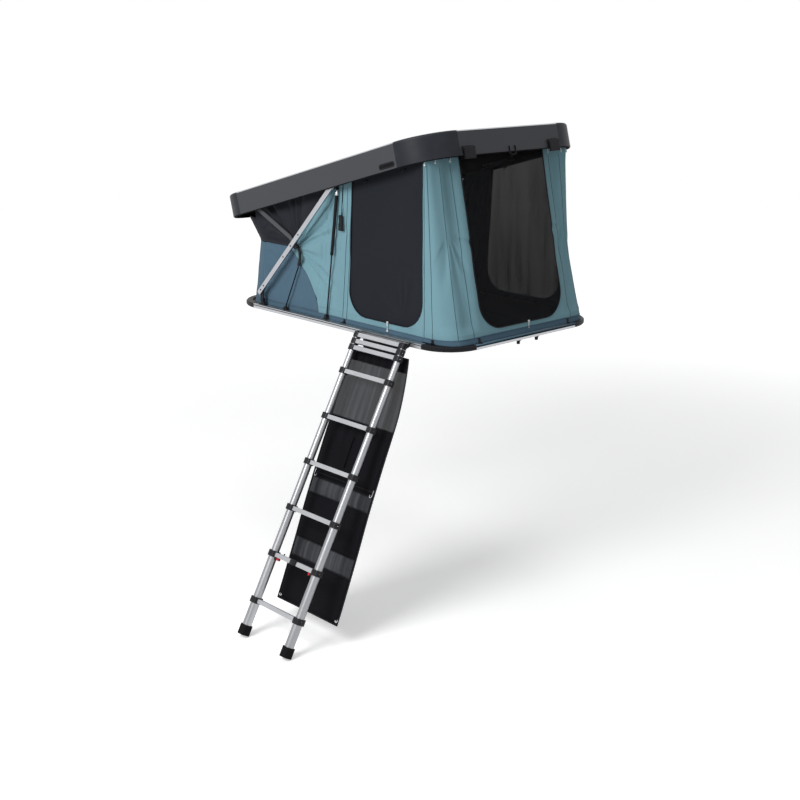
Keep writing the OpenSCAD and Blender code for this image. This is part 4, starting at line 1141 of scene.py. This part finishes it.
WRAP_D, WRAP_H, WRAP_STRAP = 0.0215, 0.0155, (0.0016, 0.060)
corners = ((WRAP_D, WRAP_H), (-WRAP_D, WRAP_H), (-WRAP_D, -WRAP_H), (WRAP_D, -WRAP_H), (WRAP_D, WRAP_H))
bm = bmesh.new()
ribbon(bm, [on_ladder(0, y, z - RUNG_AT[7]) for y, z in corners], ALONG_X, *WRAP_STRAP)
fit(keep_piece("rung_wrap", bm, black_webbing), "ladder_8")


# Hanging organiser behind the ladder

PLEATS, BAG_PLEAT, BAG_SAG, BAG_BELLY, BAG_WAVE = 7, 0.009, 0.006, 0.008, 0.010
BINDING_R, BAG_SEAM_R, SLIT_R = 0.0042, 0.0026, 0.0055
NET_START, NET_END = 0.052, 0.27
HANG_FROM, HANG_TO = 0.03, 0.16
POCKET_W, POCKET_SLACK, POCKET_RISE = 0.57, 1.06, 0.009
POCKETS = (
    ("organiser_pocket", 0.274, 0.498, bag_canvas),
    ("organiser_net_upper", 0.521, 0.577, band_net),
    ("organiser_sleeve", 0.581, 0.752, bag_canvas),
    ("organiser_net_lower", 0.757, 0.824, band_net),
    ("organiser_base", 0.829, 0.985, bag_canvas),
)
BAG_SEAMS = (NET_START, 0.272, 0.500, 0.518, 0.579, 0.755, 0.827)
SLIT_FROM, SLIT_TO, SLIT_LIFT = (0.463, 0.332), (0.448, 0.452), 0.0135
FLAP = ((0.0225, 0.010), (0.0225, -0.012), (0.030, -0.025), (0.041, -0.045), (0.0505, -0.060),
        (0.0505, -0.072))
FLAP_STRAP, HOOK_BAR = (0.0016, 0.35), (0.004, 0.005)
EYELET = ((0.0055, -0.0015), (0.0060, 0.0012), (0.0085, 0.0020), (0.0110, 0.0010), (0.0115, -0.0012))
HOOK = ((0, 0.020), (0, -0.012), (0.004, -0.022), (0.012, -0.026), (0.019, -0.021), (0.020, -0.012))
HOOKS = ((0.040, 0.500, 1), (0.992, 0.505, -1))


def bag_point(u, t, lift=0.0):
    """A spot of the organiser: u across from 0 to 1, t down from 0 to 1."""
    pleat = BAG_PLEAT * (1 - cos(2 * pi * PLEATS * u)) * min(1, 9 * t) * (1 - smooth(0.10, 0.42, t))
    sag = BAG_SAG * ripple(u * 0.8, t * 1.5) * smooth(0.0, 0.2, t)
    belly = BAG_BELLY * sin(pi * u) * smooth(0.15, 0.5, t)
    y = BAG_BACK + BAG_FALL * BAG_L * t + pleat + 0.4 * sag + belly - lift
    wave = BAG_WAVE * sin(2.6 * pi * t + 0.6) * smooth(0.05, 0.4, t)
    width = BAG_W * (1 - 0.18 * max(0, 1 - 4 * t) ** 2)
    return on_ladder(BAG_SHIFT + (u - 0.5) * width + 0.5 * wave, y, BAG_TOP - BAG_L * t)


def pocket_point(top, low):
    def place(u, t):
        rise = sin(pi * min(1, max(0, (t - top) / (low - top)))) ** 0.5 * (4 * u * (1 - u)) ** 0.25
        return bag_point(mix(0.02, 0.98, u), t, 0.003 + POCKET_RISE * rise)
    return place


def bag_front(point):
    return Vector((0, -cos(LADDER_LEAN), sin(LADDER_LEAN)))


def hang(piece):
    """Bakes an organiser piece's placing into its mesh."""
    bag_point(0.5, HANG_FROM)
    bag_point(0.5, HANG_TO)
    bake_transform(piece)


bm = bmesh.new()
lay_patch(bm, bag_point, edge(0, NET_START, NET_END), edge(1, NET_START, NET_END), 168, 40, bag_front,
          finish=1)
lay_patch(bm, bag_point, edge(0, NET_END, 1), edge(1, NET_END, 1), 84, 80, bag_front)
lay_patch(bm, bag_point, edge(0, 0, NET_START), edge(1, 0, NET_START), 168, 8, bag_front)
weld(bm, 0.0004)
bag = keep_piece("organiser_back", bm, bag_canvas, bag_net)
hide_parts("organiser")
hang(bag)

for name, top, low, finish in POCKETS:
    bm = bmesh.new()
    lay_patch(bm, pocket_point(top, low), edge(0, top, low), edge(1, top, low), 60, 24, bag_front)
    piece = keep_piece(name, bm, finish)
    (low - top) * BAG_L * POCKET_SLACK
    hang(piece)

rim = run(lambda t: bag_point(t, 0, 0.001), 60) + run(lambda t: bag_point(1, t, 0.001), 60)[1:]
rim += run(lambda t: bag_point(1 - t, 1, 0.001), 60)[1:] + run(lambda t: bag_point(0, 1 - t, 0.001), 60)[1:-1]
hang(tube("organiser_binding", [rim], BINDING_R, black_webbing, closed=True))

lines = [run(lambda u: bag_point(u, t, 0.004), 60) for t in BAG_SEAMS]
hang(tube("organiser_seams", lines, BAG_SEAM_R, black_webbing))

# Painted shade: a near-black tube along the zip's slit.
slit = run(lambda s: bag_point(mix(SLIT_FROM[0], SLIT_TO[0], s), mix(SLIT_FROM[1], SLIT_TO[1], s),
                               SLIT_LIFT), 20)
hang(tube("organiser_zip", [slit], SLIT_R, painted_gap_shade))

bm = bmesh.new()
ribbon(bm, [on_ladder(0, y, z) for y, z in FLAP], ALONG_X, *FLAP_STRAP)
fit(keep_piece("organiser_straps", bm, black_webbing), "ladder_1")

bm = bmesh.new()
for u in (0.03, 0.97):
    place = moved(bag_point(u, 0.985, 0.002))
    lathe(bm, EYELET, place @ LADDER_TURN @ turned(pi / 2, "X"), 20)
hang(keep_piece("organiser_eyelets", bm, screw_silver))

bm = bmesh.new()
for u, t, turn in HOOKS:
    at = bag_point(u, t, 0.014)
    ribbon(bm, [at + LADDER_TURN @ Vector((turn * x, 0, z)) for x, z in HOOK], ALONG_Y, *HOOK_BAR)
hang(keep_piece("organiser_hooks", bm, pale_plastic))


# Camera, light and stage

EYE = (6.3898, -6.0159, 1.8996)
EYE_RIGHT, EYE_UP, EYE_BACK = (0.6800, 0.7332, 0), (-0.2004, 0.1858, 0.9619), (0.7053, -0.6541, 0.2733)
camera = bpy.data.objects.new("camera", bpy.data.cameras.new("camera"))
scene.collection.objects.link(camera)
camera.matrix_world = moved(EYE) @ Matrix((EYE_RIGHT, EYE_UP, EYE_BACK)).transposed().to_4x4()
camera.data.lens = 59.093
camera.data.sensor_width = 36
camera.data.clip_end = 60
scene.camera = camera


def lamp(name, place, target, size, power):
    light = bpy.data.lights.new(name, "AREA")
    light.shape = "DISK"
    light.size = size
    light.energy = power
    holder = bpy.data.objects.new(name, light)
    scene.collection.objects.link(holder)
    holder.location = place
    holder.rotation_euler = (Vector(target) - Vector(place)).to_track_quat("-Z", "Y").to_euler()


lamp("key_lamp", (0.8, -6.5, 4.0), (0, 0, 0.4), 3.5, 375)
lamp("fill_lamp", (6.5, -1.0, 3.0), (0, 0, 0.3), 4.0, 28)
lamp("top_lamp", (0, 0, 6.5), (0, 0, 0), 5.0, 120)


class Backdrop(Finish):
    """The world's node tree, with the same helpers as a material."""

    def __init__(self, world):
        world.use_nodes = True
        self.tree = world.node_tree


def watched(tree):
    """1 where the camera looks straight, by reflection or through glass, and 0 for other light."""
    kinds = ("Is Camera Ray", "Is Glossy Ray", "Is Transmission Ray")
    straight, mirrored, through = (tree.node("ShaderNodeLightPath", out=kind) for kind in kinds)
    return straight.or_more(mirrored).or_more(through)


world = bpy.data.worlds.new("studio")
scene.world = world
studio = Backdrop(world)
soft = studio.tree.nodes["Background"]
studio.put(soft.inputs["Color"], (0.95, 0.97, 1.0))
studio.put(soft.inputs["Strength"], 0.22)
white = studio.node("ShaderNodeBackground", None, {"Color": (1, 1, 1), "Strength": 1.0})
shown = {0: watched(studio), 1: Wire(studio, soft.outputs[0]), 2: white}
chosen = studio.node("ShaderNodeMixShader", None, shown)
studio.put(studio.tree.nodes["World Output"].inputs[0], chosen)

FLOOR_R = 20.0
pale = Finish("pale_floor", Roughness=0.9, Emission_Strength=1.0)
pale.set(Base_Color=pale.blend(pale.noise(1.5, 3), (0.93, 0.93, 0.93), (0.97, 0.97, 0.97)))
across, along = pale.axis("X"), pale.axis("Y")
far = pale.ramp((across * across + along * along) * FLOOR_R ** -2, (0.01, 0.42), (0.16, 0.80))
pale.set(Emission_Color=watched(pale) * far)
bm = bmesh.new()
bmesh.ops.create_circle(bm, cap_ends=True, segments=96, radius=FLOOR_R,
                        matrix=moved((0, 0, cad_box[0][2] - 0.0005)))
floor = keep_piece("studio_floor", bm, pale.material, flat=True)
